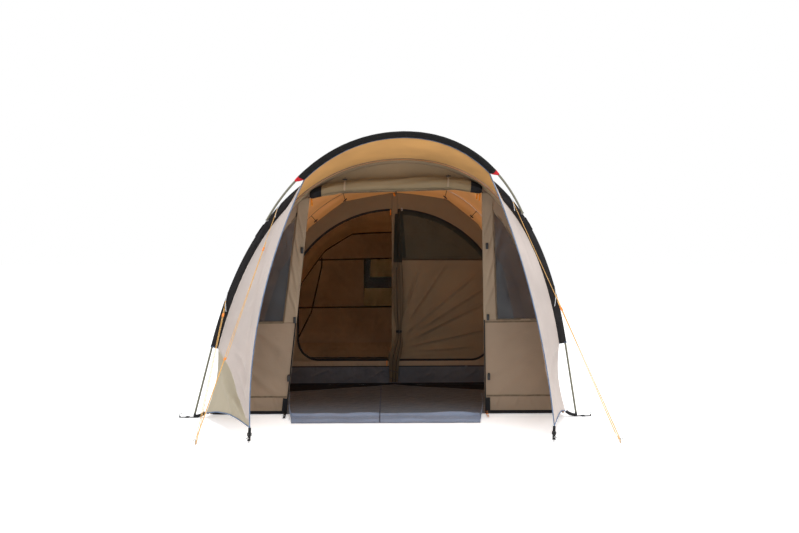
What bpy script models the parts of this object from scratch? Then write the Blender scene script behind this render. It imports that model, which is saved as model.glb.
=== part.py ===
"""A four-person tunnel tent with a porch canopy, pitched with its door rolled up.

X runs to the right of someone who stands in front of the door, Y runs into the tent and Z up.
The origin is on the ground, midway between the front arch's feet. All sizes are in metres.
"""
import math
from collections import namedtuple

import bmesh
import bpy
import numpy as np
from mathutils import Matrix, Vector

# Gap between pieces that touch
GAP = 0.0003
SEAM_GAP = 0.0005

# How the tent stands: it leans a little to the right, and sits higher on that side
LEAN = 0.045
LIFT = 0.018

# Arches: distance into the tent, half width at the feet, height of the pole's centreline
Arch = namedtuple("Arch", "depth half_width height")
FRONT_ARCH = Arch(0.0, 1.50, 2.07)
MIDDLE_ARCH = Arch(1.30, 1.48, 2.02)
REAR_ARCH = Arch(3.30, 1.42, 1.70)
KNEE_HEIGHT = 0.565
LEG_LEAN = 0.207
BEND_STEPS = 13

# Canopy arch: where its ends meet the front arch, its apex, and where its sleeve ends
CANOPY_END = Vector((1.012, 0.0, 1.54))
CANOPY_REACH = 0.75
CANOPY_RISE = 0.56
CANOPY_BEND = 0.592
CANOPY_TIP = 0.66
CANOPY_STEPS = 8

# Poles, sleeves and cloth
POLE_DIAMETER = 0.016
SLEEVE_DEPTH = 0.052
SLEEVE_BASE = 0.012
SLEEVE_CLOTH = 0.0015
CANOPY_SLEEVE_DEPTH = 0.040
CLOTH = 0.003
BAY_SAG = 0.035
HEM_HEIGHT = 0.02
SHEET_ROWS = 5
HOOD_SAG = 0.02
HOOD_END = 0.50
REAR_REACH = 0.42
REAR_FOOT_REACH = 0.10

# Wings: ground corner at the arch, front corner, sideways shift of the front pegs
WING_HEEL = Vector((1.404, -0.020, 0.040))
WING_TOE = Vector((1.040, -0.750, 0.100))
WING_BOW = 0.090
WING_HEM_RISE = 0.045
WING_HOLLOW = 0.050
WING_FREE_EDGE = 0.030
WING_FOLD = 0.007
WING_FOLDS = 3
WING_FOLD_SLANT = 1.6
WING_FOLD_MIDDLE = 0.62
WING_FOLD_SPREAD = 6.0
WING_BENT_ROWS = 9
WING_FREE_ROWS = 5
WING_COLUMNS = 9
WING_PEG = Vector((1.036, -0.775, 0.0))
WING_SHIFT = 0.110
WING_SHIFT_GROWTH = 1.2

# Front wall with its door opening and windows
WALL_DEPTH = 0.10
DOOR_FOOT_HALF = 0.790
DOOR_HEAD_HALF = 0.680
HEAD_ROOM = 0.31
DOOR_HEAD = FRONT_ARCH.height - HEAD_ROOM
WINDOW_DROP = 0.14
WINDOW_HEAD = DOOR_HEAD - WINDOW_DROP
SHOULDER_DROP = 0.09
WINDOW_SHOULDER = WINDOW_HEAD - SHOULDER_DROP
WINDOW_FOOT = 0.745
WINDOW_INNER_FOOT = 0.850
WINDOW_INNER_HEAD = 0.780
WINDOW_MARGIN = 0.09
PANE = 0.0015

# Door rolled up under the hood, with its two ties and end folds
ROLL_HALF_LENGTH = 0.670
ROLL_RADIUS = 0.052
ROLL_END_RADIUS = 0.035
ROLL_SEAT = 0.052
ROLL_HEIGHT = DOOR_HEAD + ROLL_SEAT
ROLL_DROOP = 0.050
ROLL_STEP = 0.05
ROLL_START = 2.0
ROLL_SIDES = 16
TIE_SPREAD = 0.405
TIE_WIDTH = 0.026
TIE_CLOTH = 0.002
TIE_WAIST = 0.006
TIE_PINCH = 0.045
ROLL_STATIONS = (0.0, 0.14, 0.28, 0.335, 0.392, 0.418, 0.475, 0.58, 0.62, 0.67)

# Inner tent: depth of its front and rear, distance inside the arches, tub and doors
INNER_FRONT = 1.40
INNER_REAR = 3.24
INNER_INSET = 0.10
TUB_HEIGHT = 0.18
TUB_CLOTH = 0.003
DOOR_CENTRE = 0.080
STRIP_HALF = 0.028
ARC_RADIUS = 1.107
ARC_DROP = 0.32
ARC_CENTRE = MIDDLE_ARCH.height - ARC_DROP - ARC_RADIUS
INNER_DOOR_HALF = 0.900
INNER_DOOR_SILL = 0.240
INNER_DOOR_CORNER = 0.10
MESH_SILL = 1.22
CORNER_STEPS = 5
DOOR_COLUMNS = 11
DOOR_ROWS = 9
DOOR_FOLD = 0.009
DOOR_FOLDS = 3.0
REAR_WINDOW_HALF = 0.32
REAR_WINDOW_FOOT = 0.62
REAR_WINDOW_HEAD = 1.21

# Groundsheet of the living bay, with the flap that lies in front of the door; the wall stands on it
GROUNDSHEET = 0.004
WALL_FOOT = GROUNDSHEET + GAP
WALL_SEAT = 0.010
GROUNDSHEET_HALF = MIDDLE_ARCH.half_width - INNER_INSET
FLAP_HALF = 0.715
FLAP_SPREAD = 0.040
FLAP_FRONT = -0.22

# Inner door gathered at the centre, as height and half width of the bundle
BUNDLE_PROFILE = ((1.66, 0.016), (1.45, 0.030), (1.19, 0.044), (0.95, 0.054), (0.70, 0.046),
                  (0.535, 0.027), (0.505, 0.027), (0.40, 0.048), (0.28, 0.066), (0.22, 0.040), (0.03, 0.034))
BUNDLE_OFFSET = 0.020
BUNDLE_FLATNESS = 0.65
BUNDLE_FOLDS = 7
BUNDLE_FOLD_DEPTH = 0.14
BUNDLE_TWIST = 2.5
BUNDLE_SIDES = 28
BUNDLE_TIE_HEIGHT = 0.520
BUNDLE_TIE_WIDTH = 0.024

# Foot straps, their buckles and pegs
STRAP_WIDTH = 0.025
STRAP_CLOTH = 0.002
STRAP_HEIGHT = 0.0045
STRAP_TAIL = 0.110
FRONT_STRAP_LEAD = 0.092
STRAP_LEAD = 0.044
STRAP_OFFSET = -0.006
STRAP_BEND = 0.012
BUCKLE_LENGTH = 0.028
BUCKLE_WIDTH = 0.036
BUCKLE_PLACE = 0.052
BUCKLE_HEIGHT = 0.0095
WING_STRAP_WIDTH = 0.020
WING_STRAP_END = 0.012
WING_BUCKLE_SIZE = (0.0224, 0.0306, 0.0095)
PEG_DIAMETER = 0.006
PEG_HEIGHT = 0.035
PEG_HOOK = 0.009

# Guy ropes, their runners and pegs
ROPE_DIAMETER = 0.0032
ROPE_SPACING = 0.0068
LOOP_WIDTH = 0.0098
UPPER_GUY = 0.528
LOWER_GUY = 0.870
GUY_STEPS = {"upper": UPPER_GUY, "lower": LOWER_GUY}
GUY_PEG = Vector((1.430, -0.820, 0.0))
GUY_SHIFT = 0.157
UPPER_HITCH = 0.0240
LOWER_HITCH = 0.0100
GUY_LOOP = 0.010
ROPE_STEPS = 20
LOOP_STEPS = 7
RUNNER_LENGTH = 0.030
RUNNER_WIDTH = 0.020
RUNNER_THICKNESS = 0.008
RUNNER_REACH = {("upper", "left"): 0.355, ("upper", "right"): 0.935,
                ("lower", "left"): 0.135, ("lower", "right"): 0.135}
RUNNER_TRAVEL = 0.27
LOOP_TAIL = 0.060
HOOK_REACH = 1.045
HOOK_WIDTH = 0.017
TIGHT_WIDTH = 0.0046
RING_WIDTH = 0.026

# Zip sliders of the inner doors
SLIDER_WIDTH = 0.012
SLIDER_HEIGHT = 0.010
SLIDER_THICKNESS = 0.006
ARC_SLIDER_ANGLE = 2.0
SILL_SLIDER = 0.075

SIDES = {"left": -1.0, "right": 1.0}
TENT_MIDDLE = Vector((0.0, 1.5, 0.5))

COLOURS = {
    "pole": (0.155, 0.150, 0.120, 0.35, 0.8),
    "sleeve": (0.020, 0.018, 0.020, 0.85, 0.0),
    "outer_cloth": (0.560, 0.480, 0.420, 0.90, 0.0),
    "hood_cloth": (0.480, 0.330, 0.190, 0.90, 0.0),
    "wall_cloth": (0.250, 0.195, 0.145, 0.90, 0.0),
    "window": (0.060, 0.065, 0.070, 0.15, 0.0),
    "groundsheet": (0.110, 0.115, 0.125, 0.60, 0.0),
    "inner_cloth": (0.130, 0.080, 0.045, 0.95, 0.0),
    "tub": (0.040, 0.038, 0.040, 0.70, 0.0),
    "mesh": (0.035, 0.035, 0.028, 0.90, 0.0),
    "webbing": (0.012, 0.012, 0.013, 0.80, 0.0),
    "plastic": (0.015, 0.015, 0.016, 0.40, 0.0),
    "steel": (0.350, 0.350, 0.340, 0.35, 1.0),
    "rope": (0.850, 0.520, 0.170, 0.75, 0.0),
    "runner": (0.900, 0.270, 0.050, 0.40, 0.0),
}


def clear_scene():
    """Removes what the file holds at the start."""
    for item in list(bpy.data.objects):
        bpy.data.objects.remove(item)


def new_collection(name):
    """Makes a collection in the scene."""
    collection = bpy.data.collections.new(name)
    bpy.context.scene.collection.children.link(collection)
    return collection


def material(slot):
    """Returns the Principled material of a finish, made on first use."""
    found = bpy.data.materials.get(slot)
    if found:
        return found
    red, green, blue, roughness, metallic = COLOURS[slot]
    made = bpy.data.materials.new(slot)
    made.use_nodes = True
    shader = made.node_tree.nodes["Principled BSDF"]
    shader.inputs["Base Color"].default_value = (red, green, blue, 1.0)
    shader.inputs["Roughness"].default_value = roughness
    shader.inputs["Metallic"].default_value = metallic
    return made


def pitched(points):
    """Moves points to where the hand-pitched tent holds them: right with height, up to the right."""
    straight = np.asarray(points, dtype=float)
    moved = straight.copy()
    moved[..., 0] = straight[..., 0] + LEAN * straight[..., 2]
    moved[..., 2] = straight[..., 2] * (1.0 + LIFT * straight[..., 0])
    return moved


def unit(vectors):
    """Scales vectors to length one."""
    return vectors / np.linalg.norm(vectors, axis=-1, keepdims=True)


# Arch shapes
def arch_at(depth):
    """Returns the arch that the cloth follows at a depth: straight between neighbouring poles, with sag."""
    pair = (FRONT_ARCH, MIDDLE_ARCH) if depth <= MIDDLE_ARCH.depth else (MIDDLE_ARCH, REAR_ARCH)
    share = (depth - pair[0].depth) / (pair[1].depth - pair[0].depth)
    sag = BAY_SAG * 4.0 * share * (1.0 - share) if 0.0 < share < 1.0 else 0.0
    width = pair[0].half_width * (1.0 - share) + pair[1].half_width * share
    height = pair[0].height * (1.0 - share) + pair[1].height * share
    return Arch(depth, width, height), sag


def arch_half(arch, inset, steps):
    """Points (x, z) of an arch's bent part, moved in by inset; steps are 0 at the apex and 1 at the knee."""
    knee = arch.half_width - LEG_LEAN * KNEE_HEIGHT
    corner = arch.half_width - LEG_LEAN * arch.height
    drop = arch.height - KNEE_HEIGHT
    across = 2.0 * steps * (1.0 - steps) * corner + steps * steps * knee
    up = arch.height - drop * steps * steps
    slope_across = 2.0 * (1.0 - 2.0 * steps) * corner + 2.0 * steps * knee
    slope_up = -2.0 * drop * steps
    size = np.hypot(slope_across, slope_up)
    return np.column_stack([across + inset * slope_up / size, up - inset * slope_across / size])


def leg_point(arch, inset, height):
    """Point (x, z) at a height on an arch's straight leg, moved in by inset."""
    size = math.hypot(1.0, LEG_LEAN)
    return np.array([arch.half_width - LEG_LEAN * height - inset * size, height])


def arch_line(arch, inset, foot, steps=BEND_STEPS, legs=True):
    """Points (x, z) along a whole arch, from its left end over the apex to its right end."""
    half = arch_half(arch, inset, np.linspace(0.0, 1.0, steps + 1))
    if legs:
        half = np.vstack([half, leg_point(arch, inset, foot)])
    return np.vstack([half[:0:-1] * (-1.0, 1.0), half])


def section(depth, inset, foot):
    """Points (x, y, z) of the cloth's cross-section at a depth, inset from the poles' centreline."""
    arch, sag = arch_at(depth)
    line = arch_line(arch, inset + sag, foot)
    return np.column_stack([line[:, 0], np.full(len(line), depth), line[:, 1]])


def width_at(line, height):
    """Half width of a section's outline at a height, by straight runs between its points."""
    half = line[len(line) // 2:]
    return float(np.interp(-height, -half[:, -1], half[:, 0]))


def canopy_line(steps):
    """Points (x, y, z) on the canopy pole; steps run from -1 at the left end to 1 at the right end."""
    share = np.abs(steps)
    across = (2.0 * share * (1.0 - share) * CANOPY_BEND + share * share * CANOPY_END.x) * np.sign(steps)
    climb = 1.0 - share * share
    return np.column_stack([across, CANOPY_END.y - CANOPY_REACH * climb, CANOPY_END.z + CANOPY_RISE * climb])


CANOPY_SIDE = unit(np.array([0.0, CANOPY_RISE, CANOPY_REACH]))


# Makers of meshes
def add_object(name, mesh, slot, collection):
    """Puts a mesh in the scene under a name with its finish."""
    made = bpy.data.objects.new(name, mesh)
    mesh.materials.append(material(slot))
    collection.objects.link(made)
    return made


def grid_mesh(name, grid, closed=False):
    """Makes a mesh from a grid of points; closed joins the last column to the first."""
    rows, columns = grid.shape[:2]
    index = np.arange(rows * columns).reshape(rows, columns)
    if closed:
        index = np.hstack([index, index[:, :1]])
    faces = np.stack([index[:-1, :-1], index[1:, :-1], index[1:, 1:], index[:-1, 1:]], axis=-1)
    mesh = bpy.data.meshes.new(name)
    mesh.from_pydata(grid.reshape(-1, 3).tolist(), [], faces.reshape(-1, 4).tolist())
    return mesh


def turn_outwards(mesh, centre):
    """Turns a sheet's faces away from a point, so that its thickness grows to a known side."""
    shape = bmesh.new()
    shape.from_mesh(mesh)
    bmesh.ops.recalc_face_normals(shape, faces=shape.faces)
    outward = 0.0
    for face in shape.faces:
        outward += (face.calc_center_median() - centre).dot(face.normal) * face.calc_area()
    if outward < 0.0:
        bmesh.ops.reverse_faces(shape, faces=shape.faces)
    shape.to_mesh(mesh)
    shape.free()


def add_sheet(name, grid, thickness, slot, collection, closed=False):
    """Makes a piece of cloth of even thickness on a grid of points."""
    mesh = grid_mesh(name, grid, closed)
    turn_outwards(mesh, TENT_MIDDLE)
    mesh.shade_smooth()
    made = add_object(name, mesh, slot, collection)
    wall = made.modifiers.new("cloth", "SOLIDIFY")
    wall.thickness = thickness
    wall.offset = 0.0
    return made


def add_loft(name, rings, slot, collection):
    """Makes a closed solid through rings of points, with flat ends."""
    count = rings.shape[1]
    mesh = grid_mesh(name, rings, closed=True)
    shape = bmesh.new()
    shape.from_mesh(mesh)
    shape.verts.ensure_lookup_table()
    shape.faces.new([shape.verts[i] for i in range(count)])
    shape.faces.new([shape.verts[i] for i in range(len(shape.verts) - count, len(shape.verts))])
    bmesh.ops.recalc_face_normals(shape, faces=shape.faces)
    shape.to_mesh(mesh)
    shape.free()
    mesh.shade_smooth()
    mesh.set_sharp_from_angle(angle=math.radians(50.0))
    return add_object(name, mesh, slot, collection)


def add_tube(name, paths, diameter, slot, collection, resolution=2):
    """Makes round bars with filled ends along lists of points."""
    curve = bpy.data.curves.new(name, "CURVE")
    curve.dimensions = "3D"
    curve.bevel_depth = diameter / 2.0
    curve.bevel_resolution = resolution
    curve.use_fill_caps = True
    for path in paths:
        spline = curve.splines.new("POLY")
        spline.points.add(len(path) - 1)
        spline.points.foreach_set("co", np.column_stack([path, np.ones(len(path))]).ravel())
    return add_object(name, curve, slot, collection)


def add_panel(name, outlines, depth, thickness, slot, collection):
    """Makes a flat panel that stands across the tent; outlines are lists of (x, z), holes included."""
    curve = bpy.data.curves.new(name, "CURVE")
    curve.dimensions = "2D"
    curve.fill_mode = "BOTH"
    curve.extrude = thickness / 2.0
    for outline in outlines:
        spline = curve.splines.new("POLY")
        spline.points.add(len(outline) - 1)
        flat = np.column_stack([outline, np.zeros(len(outline)), np.ones(len(outline))])
        spline.points.foreach_set("co", flat.ravel())
        spline.use_cyclic_u = True
    made = add_object(name, curve, slot, collection)
    made.location = (0.0, depth, 0.0)
    made.rotation_euler = (math.pi / 2.0, 0.0, 0.0)
    return made


def pitched_outline(outline):
    """Moves a flat outline of (x, z) points to where the pitched tent holds it."""
    outline = np.asarray(outline, dtype=float)
    moved = pitched(np.column_stack([outline[:, 0], np.zeros(len(outline)), outline[:, 1]]))
    return moved[:, [0, 2]]


def shrunk(outline, distance):
    """Moves each edge of a convex outline inwards by a distance."""
    outline = np.asarray(outline, dtype=float)
    ahead = unit(np.roll(outline, -1, axis=0) - outline)
    behind = np.roll(ahead, 1, axis=0)
    area = np.sum(outline[:, 0] * np.roll(outline[:, 1], -1) - np.roll(outline[:, 0], -1) * outline[:, 1])
    turn = math.copysign(1.0, area)
    inward = turn * np.column_stack([-ahead[:, 1] - behind[:, 1], ahead[:, 0] + behind[:, 0]])
    scale = 2.0 / np.sum(inward * inward, axis=1, keepdims=True)
    return outline + inward * scale * distance


def add_box(name, size, place, slot, collection, turn=None):
    """Makes a box of a size, centred at a place and turned by a matrix."""
    mesh = bpy.data.meshes.new(name)
    shape = bmesh.new()
    bmesh.ops.create_cube(shape, size=1.0, matrix=Matrix.Diagonal((*size, 1.0)))
    shape.to_mesh(mesh)
    shape.free()
    made = add_object(name, mesh, slot, collection)
    made.matrix_world = Matrix.Translation(place) @ (turn.to_4x4() if turn else Matrix.Identity(4))
    return made


def cut(target, cutter, operation="DIFFERENCE"):
    """Cuts one object with another, or keeps only what they share."""
    cutter.hide_render = True
    cutter.display_type = "WIRE"
    step = target.modifiers.new(operation.lower(), "BOOLEAN")
    step.operation = operation
    step.solver = "EXACT"
    step.object = cutter


def turned_to(along, side):
    """Matrix whose X runs along a direction, with Y as near as can be to a side direction."""
    x_axis = Vector(along).normalized()
    z_axis = x_axis.cross(Vector(side)).normalized()
    return Matrix((x_axis, z_axis.cross(x_axis), z_axis)).transposed()


# Poles and their sleeves
def foot_height(side):
    """Height of a pole's foot, whose tilted end stands on its strap."""
    return STRAP_HEIGHT + STRAP_CLOTH / 2.0 + GAP + POLE_DIAMETER / 2.0 * (LEG_LEAN - side * LEAN)


def arch_path(arch):
    """Points of an arch pole's centreline, from one foot to the other."""
    line = arch_line(arch, 0.0, 0.0)
    line[0] = leg_point(arch, 0.0, foot_height(-1.0)) * (-1.0, 1.0)
    line[-1] = leg_point(arch, 0.0, foot_height(1.0))
    return pitched(np.column_stack([line[:, 0], np.full(len(line), arch.depth), line[:, 1]]))


def sleeve_section(depth):
    """Cross-section (out, side) of a sleeve: round over the pole, narrow where it is sewn to the cloth."""
    sides = 8
    radius = (POLE_DIAMETER / 2.0 + GAP + SLEEVE_CLOTH / 2.0) / math.cos(math.pi / sides)
    turns = np.linspace(-math.pi / 2.0, math.pi / 2.0, sides // 2 + 1)
    over = np.column_stack([radius * np.cos(turns), radius * np.sin(turns)])
    base = np.array([[-depth, SLEEVE_BASE / 2.0], [-depth, -SLEEVE_BASE / 2.0]])
    return np.vstack([over, base])


def sweep(path, side, profile):
    """Carries a profile of (out, side) points along a path, square to it."""
    along = unit(np.gradient(path, axis=0))
    out = unit(np.cross(along, side))
    return path[:, None, :] + profile[None, :, :1] * out[:, None, :] + profile[None, :, 1:] * side


def add_arches(parts):
    """Three arch poles in sleeves that end at the knees."""
    for name, arch in (("front", FRONT_ARCH), ("middle", MIDDLE_ARCH), ("rear", REAR_ARCH)):
        path = arch_path(arch)
        add_tube(name + "_arch_pole", [path], POLE_DIAMETER, "pole", parts)
        rings = sweep(path[1:-1], np.array([0.0, 1.0, 0.0]), sleeve_section(SLEEVE_DEPTH))
        add_sheet(name + "_arch_sleeve", rings, SLEEVE_CLOTH, "sleeve", parts, closed=True)


def canopy_steps():
    """Steps of the canopy pole that its sleeve covers."""
    return np.linspace(-CANOPY_TIP, CANOPY_TIP, 2 * CANOPY_STEPS + 1)


def add_canopy_pole(parts):
    """The canopy pole, bare at its ends, with its shorter sleeve."""
    bare = np.linspace(CANOPY_TIP, 0.975, 4)[1:]
    path = pitched(canopy_line(np.concatenate([-bare[::-1], canopy_steps(), bare])))
    add_tube("canopy_pole", [path], POLE_DIAMETER, "pole", parts)
    covered = path[len(bare):-len(bare)]
    rings = sweep(covered, CANOPY_SIDE, sleeve_section(CANOPY_SLEEVE_DEPTH))
    add_sheet("canopy_sleeve", rings, SLEEVE_CLOTH, "sleeve", parts, closed=True)


# Outer cloth
def bay_edge():
    """Distance from an arch's plane at which the cloth beside its sleeve starts."""
    return SLEEVE_BASE / 2.0 + SLEEVE_CLOTH / 2.0 + SEAM_GAP


def add_bays(parts):
    """The living bay and the sleeping bay, each sagging a little between its arches."""
    edge = bay_edge()
    living = (FRONT_ARCH.depth + edge, WALL_DEPTH, 0.5, 0.9, MIDDLE_ARCH.depth - edge)
    sleeping = (MIDDLE_ARCH.depth + edge, INNER_FRONT, 1.8, 2.3, 2.8, INNER_REAR, REAR_ARCH.depth - edge)
    for name, depths in (("fly_living_bay", living), ("fly_sleeping_bay", sleeping)):
        grid = np.stack([section(depth, SLEEVE_DEPTH, HEM_HEIGHT) for depth in depths])
        add_sheet(name, pitched(grid), CLOTH, "outer_cloth", parts)


def rear_end_grid():
    """The rear end: straight threads from the rear arch to a curved line on the ground."""
    top = section(REAR_ARCH.depth, SLEEVE_DEPTH, HEM_HEIGHT)
    top[:, 1] += bay_edge() + CLOTH / 2.0
    turns = np.linspace(-math.pi / 2.0, math.pi / 2.0, len(top))
    reach = REAR_FOOT_REACH + (REAR_REACH - REAR_FOOT_REACH) * np.cos(turns)
    ground = np.column_stack([top[-1, 0] * np.sin(turns), top[:, 1] + reach, np.full(len(top), HEM_HEIGHT)])
    shares = np.linspace(0.0, 1.0, SHEET_ROWS)[:, None, None]
    return pitched(top * (1.0 - shares) + ground * shares)


def rear_window_cutter(name, margin, cutters):
    """A box through the rear end where its window is."""
    size = (2.0 * (REAR_WINDOW_HALF - margin), 2.0, REAR_WINDOW_HEAD - REAR_WINDOW_FOOT - 2.0 * margin)
    middle = (REAR_WINDOW_HEAD + REAR_WINDOW_FOOT) / 2.0
    place = pitched(np.array([0.0, REAR_ARCH.depth + 1.0, middle]))
    return add_box(name, size, place, "window", cutters)


def add_rear_end(parts, cutters):
    """The sloping rear end with a window set into it."""
    grid = rear_end_grid()
    end = add_sheet("fly_rear_end", grid, CLOTH, "outer_cloth", parts)
    cut(end, rear_window_cutter("rear_window_hole", 0.0, cutters))
    pane = add_sheet("fly_rear_window", grid, PANE, "window", parts)
    cut(pane, rear_window_cutter("rear_window_pane", GAP, cutters), "INTERSECT")


def add_hood(parts):
    """The canopy's hood, from its sleeve back to the front arch; returns its front right corner."""
    share = canopy_steps() / CANOPY_TIP
    pole = canopy_line(canopy_steps())
    along = unit(np.gradient(pole, axis=0))
    out = unit(np.cross(along, CANOPY_SIDE))
    front = pole - out * (CANOPY_SLEEVE_DEPTH + SLEEVE_CLOTH / 2.0 + CLOTH / 2.0 + 2.0 * SEAM_GAP)
    back = hood_back(share)
    shares = np.linspace(0.0, 1.0, SHEET_ROWS)[:, None, None]
    grid = front * (1.0 - shares) + back * shares
    grid[..., 2] -= HOOD_SAG * np.sin(math.pi * shares[..., 0]) * (1.0 - share[None, :] ** 2)
    add_sheet("canopy_hood", pitched(grid), CLOTH, "hood_cloth", parts)
    return front[-1]


def hood_back(share):
    """Points where hood and wings meet the front arch's sleeve; share is 1 at the hood's right end."""
    half = arch_half(FRONT_ARCH, SLEEVE_DEPTH, np.abs(share) * HOOD_END)
    across = half[:, 0] * np.where(share < 0.0, -1.0, 1.0)
    return np.column_stack([across, np.full(len(half), -bay_edge() - GAP), half[:, 1]])


def wing_edge():
    """Distance in front of the front arch's plane at which the slanting wings start."""
    return bay_edge() + 2.0 * SEAM_GAP


def wing_rear_line():
    """A right wing's rear edge: down along the front arch's sleeve, then free to the heel."""
    half = arch_half(FRONT_ARCH, SLEEVE_DEPTH, np.linspace(HOOD_END, 1.0, WING_BENT_ROWS + 1))
    bent = np.column_stack([half[:, 0], np.full(len(half), -wing_edge()), half[:, 1]])
    share = np.linspace(0.0, 1.0, WING_FREE_ROWS + 1)[1:, None]
    free = bent[-1] * (1.0 - share) + np.array(WING_HEEL) * share
    free[:, 0] -= WING_FREE_EDGE * np.sin(math.pi * share[:, 0])
    return np.vstack([bent, free])


def wing_grid(side, tip):
    """A wing from its rear edge to its bowed front edge, with folds from the knee to the toe."""
    rear = wing_rear_line()
    down = np.linspace(0.0, 1.0, len(rear))
    toe = np.array(WING_TOE)
    front = tip + (toe - tip) * down[:, None]
    front[:, 0] += WING_BOW * 4.0 * down * (1.0 - down)
    across = np.linspace(0.0, 1.0, WING_COLUMNS)[None, :, None]
    grid = rear[:, None, :] * (1.0 - across) + front[:, None, :] * across
    inside = np.sin(math.pi * across[..., 0])
    grid[..., 2] += WING_HEM_RISE * inside * down[:, None] ** 8
    grid[..., 0] -= WING_HOLLOW * inside * np.sqrt(np.sin(math.pi * down[:, None]))
    slant = across[..., 0] - WING_FOLD_SLANT * (down[:, None] - WING_FOLD_MIDDLE)
    folds = np.cos(2.0 * math.pi * WING_FOLDS * slant) * np.exp(-WING_FOLD_SPREAD * slant * slant)
    grid[..., 1] -= WING_FOLD * folds * inside * np.sin(math.pi * down[:, None]) ** 0.5
    grid[..., 0] *= side
    shift = WING_SHIFT * (grid[..., 1] / WING_TOE.y) * down[:, None] ** WING_SHIFT_GROWTH
    grid[..., 0] += shift
    return grid


def add_wings(tip, parts):
    """The two side wings of the porch."""
    for name, side in SIDES.items():
        gap = np.array([0.0, 0.0, -(CLOTH / 2.0 + SEAM_GAP)])
        grid = wing_grid(side, tip + gap)
        grid[0, :, 2] -= CLOTH + SEAM_GAP
        add_sheet("wing_" + name, pitched(grid), CLOTH, "outer_cloth", parts)


# Front wall, windows and rolled door
def window_outline():
    """The right window's outline: straight on the door's side, along the arch outside."""
    line = section(WALL_DEPTH, SLEEVE_DEPTH, HEM_HEIGHT)
    heights = np.linspace(WINDOW_SHOULDER, WINDOW_FOOT, 5)
    outer = [(width_at(line, height) - WINDOW_MARGIN, height) for height in heights]
    return np.array([(WINDOW_INNER_FOOT, WINDOW_FOOT), (WINDOW_INNER_HEAD, WINDOW_HEAD)] + outer)


def add_front_wall(parts):
    """The wall behind the front arch, with its door opening and two windows."""
    line = section(WALL_DEPTH, SLEEVE_DEPTH + CLOTH / 2.0 + SEAM_GAP, WALL_FOOT)[:, [0, 2]]
    door = [(DOOR_FOOT_HALF, WALL_FOOT), (DOOR_HEAD_HALF, DOOR_HEAD),
            (-DOOR_HEAD_HALF, DOOR_HEAD), (-DOOR_FOOT_HALF, WALL_FOOT)]
    outlines = [pitched_outline(np.vstack([line, door]))]
    for name, side in SIDES.items():
        outline = pitched_outline(window_outline() * (side, 1.0))
        outlines.append(outline)
        add_panel("window_" + name, [shrunk(outline, GAP)], WALL_DEPTH, PANE, "window", parts)
    add_panel("front_wall", outlines, WALL_DEPTH, CLOTH, "wall_cloth", parts)


def roll_place():
    """Depth of the rolled door's axis: it hangs against the front wall."""
    return WALL_DEPTH - CLOTH / 2.0 - GAP - ROLL_RADIUS * roll_step(0.0)


def roll_step(turns):
    """Outline of the rolled door as a share of its radius: a coil that steps in where the cloth ends."""
    return 1.0 - ROLL_STEP * ((turns + ROLL_START) / (2.0 * math.pi) % 1.0)


def roll_ring(across, radius):
    """One ring of the rolled door, or of a tie round it."""
    turns = np.linspace(0.0, 2.0 * math.pi, ROLL_SIDES, endpoint=False)
    reach = radius * roll_step(turns)
    centre = ROLL_HEIGHT - ROLL_DROOP * (across / ROLL_HALF_LENGTH) ** 4
    return np.column_stack([np.full(ROLL_SIDES, across), roll_place() + reach * np.cos(turns),
                            centre + reach * np.sin(turns)])


def roll_waist(across):
    """Radius of the rolled door along its length, drawn in at the ties and the ends."""
    near_tie = np.abs(np.abs(across) - TIE_SPREAD)
    waist = TIE_WAIST * np.exp(-(near_tie / TIE_PINCH) ** 2)
    end = (ROLL_RADIUS - ROLL_END_RADIUS) * (np.abs(across) / ROLL_HALF_LENGTH) ** 6
    return ROLL_RADIUS - waist - end


def add_door_roll(parts):
    """The rolled-up door, held by two webbing ties."""
    half = np.array(ROLL_STATIONS)
    stations = np.concatenate([-half[:0:-1], half])
    rings = np.stack([roll_ring(across, roll_waist(across)) for across in stations])
    add_loft("door_roll", pitched(rings), "wall_cloth", parts)
    for name, side in SIDES.items():
        edges = side * (TIE_SPREAD + np.array([-0.5, 0.5]) * TIE_WIDTH)
        radius = roll_waist(edges[0]) + (GAP + TIE_CLOTH / 2.0) / math.cos(math.pi / ROLL_SIDES) + GAP
        band = np.stack([roll_ring(edge, radius) for edge in edges])
        add_sheet("roll_tie_" + name, pitched(band), TIE_CLOTH, "webbing", parts, closed=True)


def add_groundsheet(parts):
    """The living bay's groundsheet, with its front flap; it lies flat on the ground."""
    front = WALL_DEPTH - WALL_SEAT
    back = INNER_FRONT - TUB_CLOTH / 2.0 - GAP
    root = FLAP_HALF + FLAP_SPREAD
    outline = [(-FLAP_HALF, FLAP_FRONT), (FLAP_HALF, FLAP_FRONT), (root, front),
               (GROUNDSHEET_HALF, front), (GROUNDSHEET_HALF, back), (-GROUNDSHEET_HALF, back),
               (-GROUNDSHEET_HALF, front), (-root, front)]
    made = add_panel("groundsheet", [outline], 0.0, GROUNDSHEET, "groundsheet", parts)
    made.rotation_euler = (0.0, 0.0, 0.0)
    made.location = (0.0, 0.0, GROUNDSHEET / 2.0)


# Inner tent
def door_hole(side):
    """One inner doorway of (x, z) points, from the centre strip round under the arc."""
    edge = INNER_DOOR_HALF
    corner = door_corner()
    round_part = np.column_stack([edge - INNER_DOOR_CORNER * (1.0 - np.cos(corner)),
                                  INNER_DOOR_SILL + INNER_DOOR_CORNER * (1.0 + np.sin(corner))])
    across = np.linspace(edge, STRIP_HALF, DOOR_COLUMNS)
    arc = np.column_stack([across, arc_height(across)])
    outline = np.vstack([[(STRIP_HALF, INNER_DOOR_SILL)], round_part, arc])
    outline[:, 0] = DOOR_CENTRE + side * outline[:, 0]
    return outline


def door_corner():
    """Turns round the inner doorway's lower outer corner, from its foot to its side."""
    return np.linspace(-math.pi / 2.0, 0.0, CORNER_STEPS)


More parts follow.
